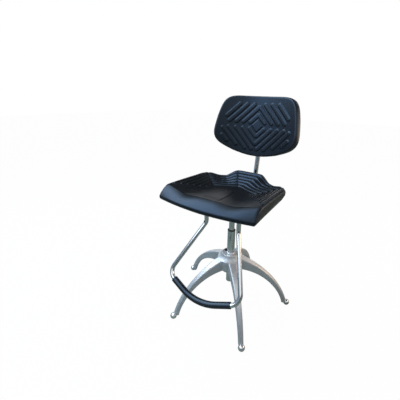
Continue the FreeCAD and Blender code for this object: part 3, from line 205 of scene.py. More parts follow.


# %% [markdown]
# ## The metals
#
# The base is a casting that was tumbled and brushed: satin grey, a little cloudy, and glossier
# where its upper side was polished. Its colour is painted lighter on faces that point up, which is
# painted light from above. The tubes are chrome plated, so they are nearly a mirror, with only a
# faint haze of wiping marks to keep the reflections from looking perfect. Such marks could be
# painted as pictures. Patterns worked out from the place on a piece need no picture and move
# with the piece, so they are used for every finish.

# %% Satin cast aluminium
cast = Finish("satin_cast_aluminium")
cast_cloud = cast.noise(scale=18, detail=4, roughness=0.6)
cast_grain = cast.noise(scale=900, detail=2, roughness=0.5)
cast_facing = cast.node("ShaderNodeNewGeometry", output="Normal")
cast_up = cast.node("ShaderNodeSeparateXYZ", None, {0: cast_facing}, "Z")
# Faces that point up get a lighter base colour, which is painted light from above, and a lower roughness,
# which is their polish.
cast_up_light_and_polish = cast.ramp(cast_up, zero_at=0.45, one_at=1.0)
cast.fixed(Metallic=0.75, IOR=1.5)
cast.feed(
    Base_Color=cast.blend(cast_up_light_and_polish * 0.7 + cast_cloud * 0.3,
                          colour(0.50, 0.54, 0.58), colour(0.96, 0.96, 0.97)),
    Roughness=0.48 + cast_cloud * 0.10 - cast_up_light_and_polish * 0.10,
    Normal=cast.bump(cast_grain, strength=0.12, distance=0.0004),
)

# %% Chrome plating
chrome = Finish("chrome_plating")
chrome_haze = chrome.noise(scale=60, detail=3, roughness=0.6)
chrome_wipe = chrome.noise(scale=1400, detail=2, roughness=0.5)
chrome.fixed(Metallic=1.0)
chrome.feed(
    Base_Color=chrome.blend(chrome_haze, colour(0.72, 0.74, 0.76), colour(0.84, 0.85, 0.87)),
    Roughness=0.15 + chrome_haze * 0.05,
    Normal=chrome.bump(chrome_wipe, strength=0.010, distance=0.0001),
)

# %% Polished steel of the ball feet
ball = Finish("polished_ball_steel")
ball_cloud = ball.noise(scale=120, detail=3, roughness=0.6)
ball_height = ball.node("ShaderNodeSeparateXYZ", None, {0: ball.place()}, "Z")
ball_wear = ball.ramp(ball_height, zero_at=0.006, one_at=0.001) * ball_cloud
ball.fixed(Metallic=1.0)
ball.feed(
    Base_Color=ball.blend(ball_wear, colour(0.86, 0.87, 0.89), colour(0.40, 0.40, 0.40)),
    Roughness=0.24 + ball_cloud * 0.08 + ball_wear * 0.20,
    Normal=ball.bump(ball_cloud, strength=0.04, distance=0.0003),
)

# %% Plain zinc-plated steel of pins and screws
zinc = Finish("zinc_plated_steel")
zinc_spangle = zinc.noise(scale=500, detail=3, roughness=0.6)
zinc.fixed(Metallic=1.0)
zinc.feed(
    Base_Color=zinc.blend(zinc_spangle, colour(0.42, 0.43, 0.44), colour(0.62, 0.63, 0.64)),
    Roughness=0.28 + zinc_spangle * 0.16,
    Normal=zinc.bump(zinc_spangle, strength=0.08, distance=0.0002),
)

# %% [markdown]
# ## The black finishes
#
# Four blacks sit side by side on this chair, and what tells them apart is not colour but gloss
# and grain: powder paint has a fine orange peel, moulded plastic a spark-eroded grain, the
# footrest's rubber is smooth and catches a long soft highlight, and the skin of the foam has a
# fine leathery pore and a few rubbed marks. The rubber and the foam get a painted bluish tint in
# their reflections, and the foam gets painted light on the edges of its ribs and painted shade in
# the grooves between them. One flat black would do from afar, but its pieces would run together
# in the shade, so each black is made with a grain and a gloss of its own.

# %% Black powder coat
powder = Finish("black_powder_coat")
powder_peel = powder.noise(scale=1100, detail=2, roughness=0.5)
powder_cloud = powder.noise(scale=30, detail=3, roughness=0.6)
powder.feed(
    Base_Color=powder.blend(powder_cloud, colour(0.016, 0.016, 0.018), colour(0.030, 0.030, 0.033)),
    Roughness=0.40 + powder_cloud * 0.10,
    Normal=powder.bump(powder_peel, strength=0.25, distance=0.0003),
)

# %% Black moulded plastic
plastic = Finish("black_moulded_plastic")
plastic_grain = plastic.noise(scale=2200, detail=2, roughness=0.5)
plastic_cloud = plastic.noise(scale=40, detail=3, roughness=0.6)
plastic.feed(
    Base_Color=plastic.blend(plastic_cloud, colour(0.014, 0.014, 0.016), colour(0.026, 0.026, 0.029)),
    Roughness=0.46 + plastic_cloud * 0.12,
    Normal=plastic.bump(plastic_grain, strength=0.20, distance=0.0002),
)

# %% Rubber of the footrest's sleeve
rubber = Finish("smooth_black_rubber")
rubber_cloud = rubber.noise(scale=35, detail=4, roughness=0.65)
rubber_grain = rubber.noise(scale=1600, detail=2, roughness=0.5)
rubber_marks = rubber.noise(scale=260, detail=5, roughness=0.75)
rubber_scuff = rubber.ramp(rubber_marks, zero_at=0.60, one_at=0.80)
# The bluish specular tint is a painted reflection colour: it stands in for the bluish daylight in the
# sleeve's highlight.
rubber.fixed(IOR=1.6, Specular_Tint=colour(0.62, 0.80, 1.0))
rubber.feed(
    Base_Color=rubber.blend(rubber_scuff * 0.5, colour(0.010, 0.011, 0.014), colour(0.040, 0.042, 0.047)),
    Roughness=0.22 + rubber_cloud * 0.08 + rubber_scuff * 0.12,
    Normal=rubber.bump(rubber_grain, strength=0.08, distance=0.0002),
)

# %% Skin of the moulded foam
foam = Finish("skin_of_moulded_foam")
foam_cloud = foam.noise(scale=14, detail=4, roughness=0.6)
foam_pore = foam.node("ShaderNodeTexVoronoi", {"feature": "F1"},
                      {"Vector": foam.place(), "Scale": 620.0}, "Distance")
foam_grain = foam.noise(scale=1500, detail=3, roughness=0.6)
foam_marks = foam.noise(scale=70, detail=5, roughness=0.7)
foam_rub = foam.ramp(foam_marks, zero_at=0.55, one_at=0.80)
foam_pointiness = foam.node("ShaderNodeNewGeometry", output="Pointiness")
# Convex rib edges get a lighter base colour and the grooves a darker one: painted light on the ribs and
# painted shade in the grooves.
foam_rib_light_and_groove_shade = foam.ramp(foam_pointiness, zero_at=0.49, one_at=0.53)
# The bluish specular tint is a painted reflection colour: it stands in for the bluish daylight that the
# foam reflects.
foam.fixed(Specular_Tint=colour(0.46, 0.68, 1.0))
foam.feed(
    Base_Color=foam.blend(foam_rib_light_and_groove_shade * 0.7 + foam_cloud * 0.2 + foam_rub * 0.1,
                          colour(0.004, 0.004, 0.004), colour(0.018, 0.018, 0.018)),
    Roughness=0.31 + foam_cloud * 0.07,
    Normal=foam.bump(foam_grain, strength=0.05, distance=0.0002,
                     under=foam.bump(foam_pore, strength=0.05, distance=0.0003)),
)

# %% [markdown]
# ## Dressing the exact model
#
# Each piece of the exact model names the slot that its material goes in. Giving every piece its
# finish by hand would be long and easy to get wrong, so one table pairs each slot with a finish,
# and a loop does the rest.

# %% Give the exact model's pieces their finishes
FINISH_OF_SLOT = {
    "cast_base": cast,
    "polished_steel": ball,
    "chrome_plate": chrome,
    "steel_parts": zinc,
    "black_steel": powder,
    "black_plastic": plastic,
    "sleeve_rubber": rubber,
    "moulded_foam": foam,
}
for entry in frame["record"]["subparts"]:
    piece = frame["nodes"][entry["node"]]
    piece.data.materials.clear()
    piece.data.materials.append(FINISH_OF_SLOT[entry["material_slot"]].material)

# %% [markdown]
# ## Tools for the foam
#
# The seat and the backrest are cast in moulds, so their shapes are smooth surfaces with raised
# ribs. Each is made as a grid of points whose places come from plain geometry: arcs for the
# sections, and the distance to a line for the ribs. A grid keeps the faces even, which a
# sculpted or remeshed surface would not. The foam's sizes are in millimetres, and make_piece
# turns them into metres.

# %% Small helpers for shapes
def ease(value, begin, end):
    """Rises smoothly from 0 to 1 between two values."""
    share = min(1.0, max(0.0, (value - begin) / (end - begin)))
    return share * share * (3 - 2 * share)


def arc_points(first, middle, last, count):
    """Points on the arc from first through middle, up to but without last."""
    (ax, ay), (bx, by), (cx, cy) = first, middle, last
    twice = 2 * (ax * (by - cy) + bx * (cy - ay) + cx * (ay - by))
    a2, b2, c2 = ax * ax + ay * ay, bx * bx + by * by, cx * cx + cy * cy
    ox = (a2 * (by - cy) + b2 * (cy - ay) + c2 * (ay - by)) / twice
    oy = (a2 * (cx - bx) + b2 * (ax - cx) + c2 * (bx - ax)) / twice
    begin = math.atan2(ay - oy, ax - ox)
    end = math.atan2(cy - oy, cx - ox)
    if twice < 0:
        end -= math.tau * math.ceil((end - begin) / math.tau)
    else:
        end += math.tau * math.ceil((begin - end) / math.tau)
    radius = math.hypot(ax - ox, ay - oy)
    angles = [begin + (end - begin) * k / count for k in range(count)]
    return [(ox + radius * math.cos(a), oy + radius * math.sin(a)) for a in angles]


def line_points(first, last, count):
    """Points on the straight run from first up to but without last."""
    return [(first[0] + (last[0] - first[0]) * k / count, first[1] + (last[1] - first[1]) * k / count)
            for k in range(count)]


def distance_to_run(x, y, run):
    """How far a point is from a straight run between two ends."""
    (ax, ay), (bx, by) = run
    dx, dy = bx - ax, by - ay
    share = ((x - ax) * dx + (y - ay) * dy) / (dx * dx + dy * dy)
    share = min(1.0, max(0.0, share))
    return math.hypot(x - ax - share * dx, y - ay - share * dy)


def rib_height(x, y, runs, width, height, softness):
    """The height of raised ribs at a point: full on a run's middle, none beyond its edge."""
    nearest = min(distance_to_run(x, y, run) for run in runs)
    return height * (1 - ease(nearest, width / 2 - softness, width / 2 + softness))


def make_piece(name, points, faces, finish, body, *nodes):
    """A mesh from points in millimetres that stands for nodes of the exact model."""
    mesh = bpy.data.meshes.new(name)
    mesh.from_pydata([(x / 1000, y / 1000, z / 1000) for x, y, z in points], [], faces)
    mesh.validate()
    mesh.shade_smooth()
    piece = bpy.data.objects.new(name, mesh)
    scene.collection.objects.link(piece)
    mesh.materials.append(finish.material)
    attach(piece, body)
    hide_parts(*nodes)
    print(name, "has", len(points), "points")


# %% [markdown]
# ## The backrest
#
# On the real chair the backrest is a pad about 40 mm thick, hollow towards the sitter, with a
# straight top, a bowed lower edge and generous corners. Its front carries nested diamond ribs,
# broken along the middle line. The pad could be carved from a block with modifiers, but a grid
# that follows the outline gives clean rounded edges, so that is used here.

# %% Shape of the backrest
BACK_CENTRE = (0.0, 234.0, 1001.0)
BACK_TILT = math.radians(10.5)
BACK_HOLLOW = 430.0
BACK_THICKNESS = 38.0
BACK_FRONT_EDGE = 7.0
BACK_REAR_EDGE = 14.0
BACK_OUTLINE = [
    (0, 134), (50, 133.6), (100, 132.4), (132, 130), (157, 123.5), (175, 112), (188, 95),
    (197, 74), (204, 50), (210, 25), (215.5, -5), (220, -35.5), (221, -56), (218, -76),
    (208, -95), (190, -111.5), (163, -125.5), (135, -136.5), (107, -145.5), (52, -156.5), (0, -160),
]
STEPS_BETWEEN_KNOTS = 24
print("the backrest's outline goes through", len(BACK_OUTLINE), "points on its right half")


def smooth_loop(right_half, count):
    """A closed smooth outline through points and their mirror images, evenly spaced."""
    left_half = [(-x, y) for x, y in reversed(right_half[1:-1])]
    knots = right_half + left_half
    total = len(knots)
    fine = []
    for k in range(total):
        p0, p1, p2, p3 = (knots[(k + j) % total] for j in (-1, 0, 1, 2))
        for step in range(STEPS_BETWEEN_KNOTS):
            t = step / STEPS_BETWEEN_KNOTS
            # A cubic curve that passes through its knots and keeps its direction at each of them.
            fine.append(tuple(
                0.5 * (2 * b + (c - a) * t + (2 * a - 5 * b + 4 * c - d) * t * t
                       + (3 * b - a - 3 * c + d) * t ** 3)
                for a, b, c, d in zip(p0, p1, p2, p3)))
    lengths = [0.0]
    for k in range(len(fine)):
        x1, y1 = fine[k]
        x2, y2 = fine[(k + 1) % len(fine)]
        lengths.append(lengths[-1] + math.hypot(x2 - x1, y2 - y1))
    even = []
    k = 0
    for index in range(count):
        target = lengths[-1] * index / count
        while lengths[k + 1] < target:
            k += 1
        share = (target - lengths[k]) / (lengths[k + 1] - lengths[k])
        x1, y1 = fine[k]
        x2, y2 = fine[(k + 1) % len(fine)]
        even.append((x1 + (x2 - x1) * share, y1 + (y2 - y1) * share))
    return even


# %% Ribs of the backrest
BACK_MIDDLE = -8.0
BACK_RIB_WIDTH = 17.0
BACK_RIB_HEIGHT = 2.9
BACK_RIB_SOFTNESS = 1.8
BACK_RIB_GAP = 15.0
BACK_RINGS_BELOW = 6
BACK_RINGS_ABOVE = 5
FIRST_RING_ACROSS = 56.0
FIRST_RING_RISE = 53.0
RING_PITCH_ACROSS = 37.0
RING_PITCH_UP = 39.0
SOLID_DIAMOND_EDGE = (28.0, 33.0)
RIB_FIELD_TOP = 93.0
RIB_FIELD_TOP_SIDE = 169.0
RIB_FIELD_TOP_LEAN = 0.10
RIB_FIELD_BOTTOM = -124.0
RIB_FIELD_BOTTOM_SIDE = 182.0
RIB_FIELD_BOTTOM_FLAT = 50.0
RIB_FIELD_BOTTOM_RISE = 0.27
MIDLINE_CLEARANCE = 3.0
RUN_STEPS = 160
LEAST_RUN_STEPS = 12


def in_rib_field(u, v):
    """Whether a point of the backrest's right half lies where ribs are moulded."""
    if v > BACK_MIDDLE:
        high_enough = v > BACK_MIDDLE + BACK_RIB_GAP
        return high_enough and v < RIB_FIELD_TOP and u < RIB_FIELD_TOP_SIDE - v * RIB_FIELD_TOP_LEAN
    low_enough = v < BACK_MIDDLE - BACK_RIB_GAP
    bottom = RIB_FIELD_BOTTOM + max(0, u - RIB_FIELD_BOTTOM_FLAT) * RIB_FIELD_BOTTOM_RISE
    return low_enough and v > bottom and u < RIB_FIELD_BOTTOM_SIDE


def back_rib_runs():
    """The straight runs of the nested diamonds, trimmed to the field they fill."""
    runs = []
    for ring in range(BACK_RINGS_BELOW):
        side = FIRST_RING_ACROSS + RING_PITCH_ACROSS * ring
        rise = FIRST_RING_RISE + RING_PITCH_UP * ring
        directions = (1, -1) if ring < BACK_RINGS_ABOVE else (-1,)
        for up in directions:
            for hand in (1, -1):
                kept = []
                for step in range(RUN_STEPS + 1):
                    share = step / RUN_STEPS
                    u = side * (1 - share)
                    v = BACK_MIDDLE + up * rise * share
                    if in_rib_field(u, v) and u > MIDLINE_CLEARANCE:
                        kept.append((hand * u, v))
                if len(kept) > LEAST_RUN_STEPS:
                    runs.append((kept[0], kept[-1]))
    return runs


back_runs = back_rib_runs()
print("the backrest has", len(back_runs), "rib runs")


def back_rib(u, v):
    """Rib height at a point of the backrest's front."""
    height = rib_height(u, v, back_runs, BACK_RIB_WIDTH, BACK_RIB_HEIGHT, BACK_RIB_SOFTNESS)
    diamond = abs(u) + abs(v - BACK_MIDDLE)
    return max(height, BACK_RIB_HEIGHT * (1 - ease(diamond, *SOLID_DIAMOND_EDGE)))


def back_point(u, v, depth):
    """A point of the pad from across, up and depth behind its hollow front.

    The depth is measured square to the hollow, so the side walls spread a little to the back.
    """
    spread = (BACK_HOLLOW + depth) / BACK_HOLLOW
    back = math.sqrt(BACK_HOLLOW ** 2 - u * u) * spread - BACK_HOLLOW
    y = BACK_CENTRE[1] + back * math.cos(BACK_TILT) + v * math.sin(BACK_TILT)
    z = BACK_CENTRE[2] + v * math.cos(BACK_TILT) - back * math.sin(BACK_TILT)
    return (u * spread, y, z)


# %% Grid of the backrest
BACK_COLUMNS = 176
BACK_ROWS = 116
TINY = 1e-9
print("the backrest's front has", BACK_COLUMNS, "by", BACK_ROWS, "faces")


def edge_of_grid(columns, rows):
    """The grid's outer places, anticlockwise from the middle of the top row."""
    places = [(i, rows) for i in range(columns // 2, 0, -1)]
    places += [(0, j) for j in range(rows, 0, -1)]
    places += [(i, 0) for i in range(0, columns)]
    places += [(columns, j) for j in range(0, rows)]
    places += [(i, rows) for i in range(columns, columns // 2, -1)]
    return places


def inset(outline, distance):
    """The outline moved inwards along its normals."""
    count = len(outline)
    moved = []
    for k in range(count):
        x1, y1 = outline[k - 1]
        x2, y2 = outline[(k + 1) % count]
        length = math.hypot(x2 - x1, y2 - y1)
        nx, ny = (y2 - y1) / length, -(x2 - x1) / length
        x, y = outline[k]
        if x * nx + (y - BACK_MIDDLE) * ny < 0:
            nx, ny = -nx, -ny
        moved.append((x - nx * distance, y - ny * distance))
    return moved


ring_places = edge_of_grid(BACK_COLUMNS, BACK_ROWS)
ring_count = len(ring_places)
back_loop = [(-x, y) for x, y in smooth_loop(BACK_OUTLINE, ring_count)]


def face_grid(loop):
    """Places of a whole grid whose edge is the given loop, shrunk evenly to its middle."""
    edge = dict(zip(ring_places, loop))
    grid = {}
    half_columns, half_rows = BACK_COLUMNS / 2, BACK_ROWS / 2
    for i in range(BACK_COLUMNS + 1):
        for j in range(BACK_ROWS + 1):
            s, t = (i - half_columns) / half_columns, (j - half_rows) / half_rows
            reach = max(abs(s), abs(t))
            if reach < TINY:
                grid[i, j] = (0.0, BACK_MIDDLE)
                continue
            ei = (s / reach + 1) * half_columns
            ej = (t / reach + 1) * half_rows
            i0, j0 = math.floor(ei + TINY), math.floor(ej + TINY)
            i1, j1 = min(i0 + 1, BACK_COLUMNS), min(j0 + 1, BACK_ROWS)
            if abs(abs(s) - reach) < TINY:
                a, b, share = edge[i0, j0], edge[i0, j1], ej - j0
            else:
                a, b, share = edge[i0, j0], edge[i1, j0], ei - i0
            x = a[0] + (b[0] - a[0]) * share
            y = a[1] + (b[1] - a[1]) * share
            grid[i, j] = (x * reach, BACK_MIDDLE + (y - BACK_MIDDLE) * reach)
    return grid


# %% Build the backrest
EDGE_STEPS = 5
WALL_BULGE = 0.8


def back_wall_profile():
    """(inset, depth) pairs down the side wall, from the front's rounded edge to the rear's."""
    profile = []
    for step in range(1, EDGE_STEPS + 1):
        angle = math.pi / 2 * step / EDGE_STEPS
        profile.append((BACK_FRONT_EDGE * (1 - math.sin(angle)), BACK_FRONT_EDGE * (1 - math.cos(angle))))
    profile.append((-WALL_BULGE, (BACK_FRONT_EDGE + BACK_THICKNESS - BACK_REAR_EDGE) / 2))
    for step in range(EDGE_STEPS):
        angle = math.pi / 2 * step / EDGE_STEPS
        profile.append((BACK_REAR_EDGE * (1 - math.cos(angle)),
                        BACK_THICKNESS - BACK_REAR_EDGE * (1 - math.sin(angle))))
    return profile


def build_backrest():
    """Front grid, side wall and rear grid, joined ring by ring into one closed pad."""
    points = []
    faces = []

    def add(point):
        points.append(point)
        return len(points) - 1

    front = face_grid(inset(back_loop, BACK_FRONT_EDGE))
    front_ids = {key: add(back_point(u, v, -back_rib(u, v))) for key, (u, v) in front.items()}
    rings = [[front_ids[place] for place in ring_places]]
    for distance, depth in back_wall_profile():
        rings.append([add(back_point(u, v, depth)) for u, v in inset(back_loop, distance)])
    rear = face_grid(inset(back_loop, BACK_REAR_EDGE))
    rear_ids = {key: add(back_point(u, v, BACK_THICKNESS)) for key, (u, v) in rear.items()}
    rings.append([rear_ids[place] for place in ring_places])
    for first, second in zip(rings, rings[1:]):
        for k in range(ring_count):
            after = (k + 1) % ring_count
            faces.append((first[k], second[k], second[after], first[after]))
    for ids, flip in ((front_ids, False), (rear_ids, True)):
        for i in range(BACK_COLUMNS):
            for j in range(BACK_ROWS):
                face = (ids[i, j], ids[i + 1, j], ids[i + 1, j + 1], ids[i, j + 1])
                faces.append(tuple(reversed(face)) if flip else face)
    make_piece("backrest_pad", points, faces, foam, "backrest", "backrest_cushion")


build_backrest()

# %% [markdown]
# ## The seat
#
# The seat is one moulding: a rolled front edge, turned-up sides, a hump at the back, and between
# them a hollow like an upturned pyramid with its tip cut off. It could be sculpted, but sculpted
# creases wander. Here the height of every point in the hollow is worked out from how far it lies
# between the hollow's rim and its floor, so the creases between the faces are as straight as the
# mould's.

# %% The hollow's rim and floor as seen from above
RIM_ACROSS = 222.0
RIM_CORNER_REACH = 100.0
RIM_HUMP_ACROSS = 64.0
RIM_HUMP_REACH = 172.0
FLOOR_ACROSS = 116.0
FLOOR_CORNER_REACH = 0.0
FLOOR_HUMP_REACH = 53.0

slant_run = Vector((RIM_HUMP_ACROSS - RIM_ACROSS, RIM_HUMP_REACH - RIM_CORNER_REACH))
slant_along = slant_run.normalized()
slant_inwards = Vector((-slant_along.y, slant_along.x))
slant_width = slant_inwards.dot(Vector((FLOOR_ACROSS - RIM_ACROSS, FLOOR_CORNER_REACH - RIM_CORNER_REACH)))
print("the slanting face is", round(slant_width), "mm from rim to floor")


def hollow_faces(x, y):
    """The share of the way from rim to floor on the side face, the slanting face and the hump's face."""
    side = (RIM_ACROSS - abs(x)) / (RIM_ACROSS - FLOOR_ACROSS)
    from_corner = Vector((abs(x) - RIM_ACROSS, y - RIM_CORNER_REACH))
    slant = slant_inwards.dot(from_corner) / slant_width
    hump = (RIM_HUMP_REACH - y) / (RIM_HUMP_REACH - FLOOR_HUMP_REACH)
    return side, slant, hump


# %% Height of the hollow's rim
HUMP_HEIGHT = 759.0
DIP_HEIGHT = 728.0
SIDE_FRONT_HEIGHT = 760.0
SIDE_REAR_HEIGHT = 741.0
SIDE_FALLS_ALONG = (-260.0, 170.0)
DIP_SHARE = (0.0, 0.45)
HUMP_SHARE = (0.56, 0.98)


def side_rim_height(y):
    """The height of the turned-up side, which falls towards the back."""
    return SIDE_FRONT_HEIGHT + (SIDE_REAR_HEIGHT - SIDE_FRONT_HEIGHT) * ease(y, *SIDE_FALLS_ALONG)


def rim_height(x, y, side, slant, hump):
    """The height of the rim outside a point, by the face that the point is on."""
    if hump <= min(side, slant):
        return HUMP_HEIGHT
    if side <= slant:
        return side_rim_height(y)
    share = min(1.0, max(0.0, slant))
    corner = (RIM_ACROSS + (FLOOR_ACROSS - RIM_ACROSS) * share,
              RIM_CORNER_REACH + (FLOOR_CORNER_REACH - RIM_CORNER_REACH) * share)
    end = RIM_HUMP_ACROSS * (1 - share)
    along = (corner[0] - abs(x)) / (corner[0] - end)
    from_side = side_rim_height(corner[1])
    height = from_side + (DIP_HEIGHT - from_side) * ease(along, *DIP_SHARE)
    return height + (HUMP_HEIGHT - DIP_HEIGHT) * ease(along, *HUMP_SHARE)


print("the rim at the hollow's corner is", round(side_rim_height(RIM_CORNER_REACH)), "mm high")

# %% Height of the hollow's floor
FLOOR_HEIGHT = 713.0
FLOOR_RISE_START = 20.0
FLOOR_RISE_CURVE = 1.7
RIDGE_HEIGHT = 750.0
RIDGE_REACH = -236.0
WELL_DEPTH = 5.0
WELL_INNER_SIDE = (30.0, 110.0)
WELL_OUTER_SIDE = (130.0, 200.0)
TONGUE_HEIGHT = 2.2
TONGUE_HALF_WIDTH = 16.0
TONGUE_SPREAD = 0.147
TONGUE_EDGE = (-5.0, 3.0)
TONGUE_BACK_END = (0.0, 40.0)
TONGUE_FRONT_END = (170.0, 220.0)


def floor_height(x, y):
    """The floor of the hollow, which rises to the front ridge between the thighs' wells."""
    across = abs(x)
    well = WELL_DEPTH * (ease(across, *WELL_INNER_SIDE) - ease(across, *WELL_OUTER_SIDE))
    forward = max(0.0, FLOOR_RISE_START - y) / (FLOOR_RISE_START - RIDGE_REACH)
    height = FLOOR_HEIGHT + (RIDGE_HEIGHT - well - FLOOR_HEIGHT) * forward ** FLOOR_RISE_CURVE
    half_tongue = TONGUE_HALF_WIDTH + TONGUE_SPREAD * max(0.0, -y)
    tongue = 1 - ease(across - half_tongue, *TONGUE_EDGE)
    tongue *= ease(-y, *TONGUE_BACK_END) * (1 - ease(-y, *TONGUE_FRONT_END))
    return height + TONGUE_HEIGHT * tongue


print("the hollow's floor is", round(floor_height(0, 0)), "mm above the ground")

# %% Height of the seat's upper side
FACE_CURVE = 1.2


def seat_top(x, y):
    """The height of the seat's upper side without its ribs."""
    side, slant, hump = hollow_faces(x, y)
    share = min(1.0, max(0.0, min(side, slant, hump)))
    floor = floor_height(x, y)
    return floor + (rim_height(x, y, side, slant, hump) - floor) * (1 - share) ** FACE_CURVE


print("the hollow is", round(HUMP_HEIGHT - seat_top(0, 0)), "mm deep below the hump")

# %% Width of the seat
SEAT_HALF_WIDTH = 234.0
SEAT_FRONT = -290.0
SEAT_FLARE = 7.0
SEAT_FLARE_LENGTH = 340.0
RIB_EDGE = 206.0


def seat_flare(x, y):
    """The seat widens a little from front to back, all of it outside the ribs."""
    outside = max(0.0, abs(x) - RIB_EDGE) / (SEAT_HALF_WIDTH - RIB_EDGE)
    return x + math.copysign(SEAT_FLARE * outside * (y - SEAT_FRONT) / SEAT_FLARE_LENGTH, x)


print("the seat is", round(2 * SEAT_HALF_WIDTH), "mm wide at its front")

# %% One side view of the seat
SEAT_BACK = 196.0
SEAT_UNDER = 694.0
SEAT_LIP = 702.0
FRONT_BOW = 25.0
LIP_RISE = 2.0
LIP_REACH = 5.0
LIP_BEND_RISE = 7.0
NOSE_REACH = 1.0
NOSE_RISE = 19.0
ROLL_DEPTH = 58.0
ROLL_MIDDLE = 0.45
ROLL_BULGE = 3.2
CREST_ROUND = 12.0
CREST_BEND = 3.6
BACK_FOOT = (6.0, 8.0)
UNDER_BACK_REACH = 45.0
UNDER_FRONT_REACH = 90.0
LIP_STEPS, ROLL_STEPS, TOP_STEPS, CREST_STEPS = 6, 22, 220, 6
WALL_STEPS, UNDER_STEPS, CHIN_STEPS = 8, 24, 12

# Each of these is an amount, and the two distances from the middle between which it grows.
BACK_SWEEP = (88.0, 40.0, 250.0)
BACK_SHOULDER = (20.0, 190.0, 229.0)
BACK_CORNER = (18.0, 214.0, 234.0)
UNDER_RISE = (12.0, 160.0, 229.0)


def gain(across, rule, power=1):
    """How far an amount has grown at a distance from the seat's middle."""
    amount, begin, end = rule
    return amount * ease(across, begin, end) ** power


def seat_side_view(across):
    """Closed loop of (y, z) points of the seat at a distance from its middle."""
    share = across / SEAT_HALF_WIDTH
    lip_y = SEAT_FRONT + FRONT_BOW * share ** 2
    back_y = SEAT_BACK - gain(across, BACK_SWEEP) - gain(across, BACK_SHOULDER)
    back_y -= gain(across, BACK_CORNER, power=2)
    under = SEAT_UNDER + gain(across, UNDER_RISE)
    lip = SEAT_LIP + LIP_RISE * share
    ridge_y = lip_y + ROLL_DEPTH
    crest_y = back_y - CREST_ROUND
    ridge = seat_top(seat_flare(across, ridge_y), ridge_y)
    crest = seat_top(seat_flare(across, crest_y), crest_y)
    lip_low = (lip_y + LIP_REACH, lip)
    nose = (lip_y + NOSE_REACH, lip + NOSE_RISE)
    roll_middle = (lip_y + ROLL_DEPTH * ROLL_MIDDLE, (ridge + nose[1]) / 2 + ROLL_BULGE)
    back_top = (back_y, crest - CREST_ROUND)
    back_low = (back_y - BACK_FOOT[0], under + BACK_FOOT[1])
    under_back = (back_y - UNDER_BACK_REACH, under)
    under_front = (lip_y + UNDER_FRONT_REACH, under)
    loop = arc_points(lip_low, (lip_y, lip + LIP_BEND_RISE), nose, LIP_STEPS)
    loop += arc_points(nose, roll_middle, (ridge_y, ridge), ROLL_STEPS)
    for step in range(TOP_STEPS):
        y = ridge_y + (crest_y - ridge_y) * step / TOP_STEPS
        loop.append((y, seat_top(seat_flare(across, y), y)))
    crest_middle = (back_y - CREST_BEND, crest - CREST_BEND)
    loop += arc_points((crest_y, crest), crest_middle, back_top, CREST_STEPS)
    loop += line_points(back_top, back_low, WALL_STEPS)
    loop += line_points(back_low, under_back, WALL_STEPS)
    loop += line_points(under_back, under_front, UNDER_STEPS)
    loop += line_points(under_front, lip_low, CHIN_STEPS)
    return loop


seat_loop_count = len(seat_side_view(0))
print("a side view of the seat has", seat_loop_count, "points")

# %% Ribs of the seat
SEAT_RIB_WIDTH = 9.5
SEAT_RIB_HEIGHT = 2.8
SEAT_RIB_SOFTNESS = 3.4
SEAT_RINGS = 6
SEAT_RING_FIRST = 0.03
SEAT_RING_PITCH = 0.175
SEAT_RING_FRONT = -176.0
SEAT_RING_FRONT_RUN = 146.0


def seat_rib_runs():
    """Open rings that follow the hollow's faces from the rim down to the floor."""
    runs = []
    for ring in range(SEAT_RINGS):
        share = SEAT_RING_FIRST + SEAT_RING_PITCH * ring
        side = RIM_ACROSS + (FLOOR_ACROSS - RIM_ACROSS) * share
        front_end = (side, SEAT_RING_FRONT + SEAT_RING_FRONT_RUN * share)
        corner = (side, RIM_CORNER_REACH + (FLOOR_CORNER_REACH - RIM_CORNER_REACH) * share)
        hump_reach = RIM_HUMP_REACH + (FLOOR_HUMP_REACH - RIM_HUMP_REACH) * share
        hump = (RIM_HUMP_ACROSS * (1 - share), hump_reach)
        right = [front_end, corner, hump]
        ring_points = [(-x, y) for x, y in right] + list(reversed(right))
        runs += list(zip(ring_points, ring_points[1:]))
    return runs


seat_runs = seat_rib_runs()
print("the seat has", len(seat_runs), "rib runs")

# %% Build the seat
SEAT_STATIONS = 300
SEAT_EDGE = 6.0
SIDE_TURN_STEPS = 6
SIDE_BULGE = 1.2
SIDE_BULGE_RINGS = 3


def shrink_view(loop, distance):
    """A side view moved inwards along its normals."""
    count = len(loop)
    moved = []
    for k in range(count):
        y1, z1 = loop[k - 1]
        y2, z2 = loop[(k + 1) % count]
        length = math.hypot(y2 - y1, z2 - z1)
        y, z = loop[k]
        moved.append((y + (z2 - z1) / length * distance, z - (y2 - y1) / length * distance))
    return moved


def seat_station_list():
    """(across, inset) of every side view from the left edge to the right edge."""
    inner = SEAT_HALF_WIDTH - SEAT_EDGE
    flat = [(-inner + 2 * inner * k / SEAT_STATIONS, 0.0) for k in range(SEAT_STATIONS + 1)]
    right = []
    for step in range(1, SIDE_TURN_STEPS + 1):
        angle = math.pi / 2 * step / SIDE_TURN_STEPS
        right.append((inner + SEAT_EDGE * math.sin(angle), SEAT_EDGE * (1 - math.cos(angle))))
    left = [(-across, inwards) for across, inwards in reversed(right)]
    return left + flat + right


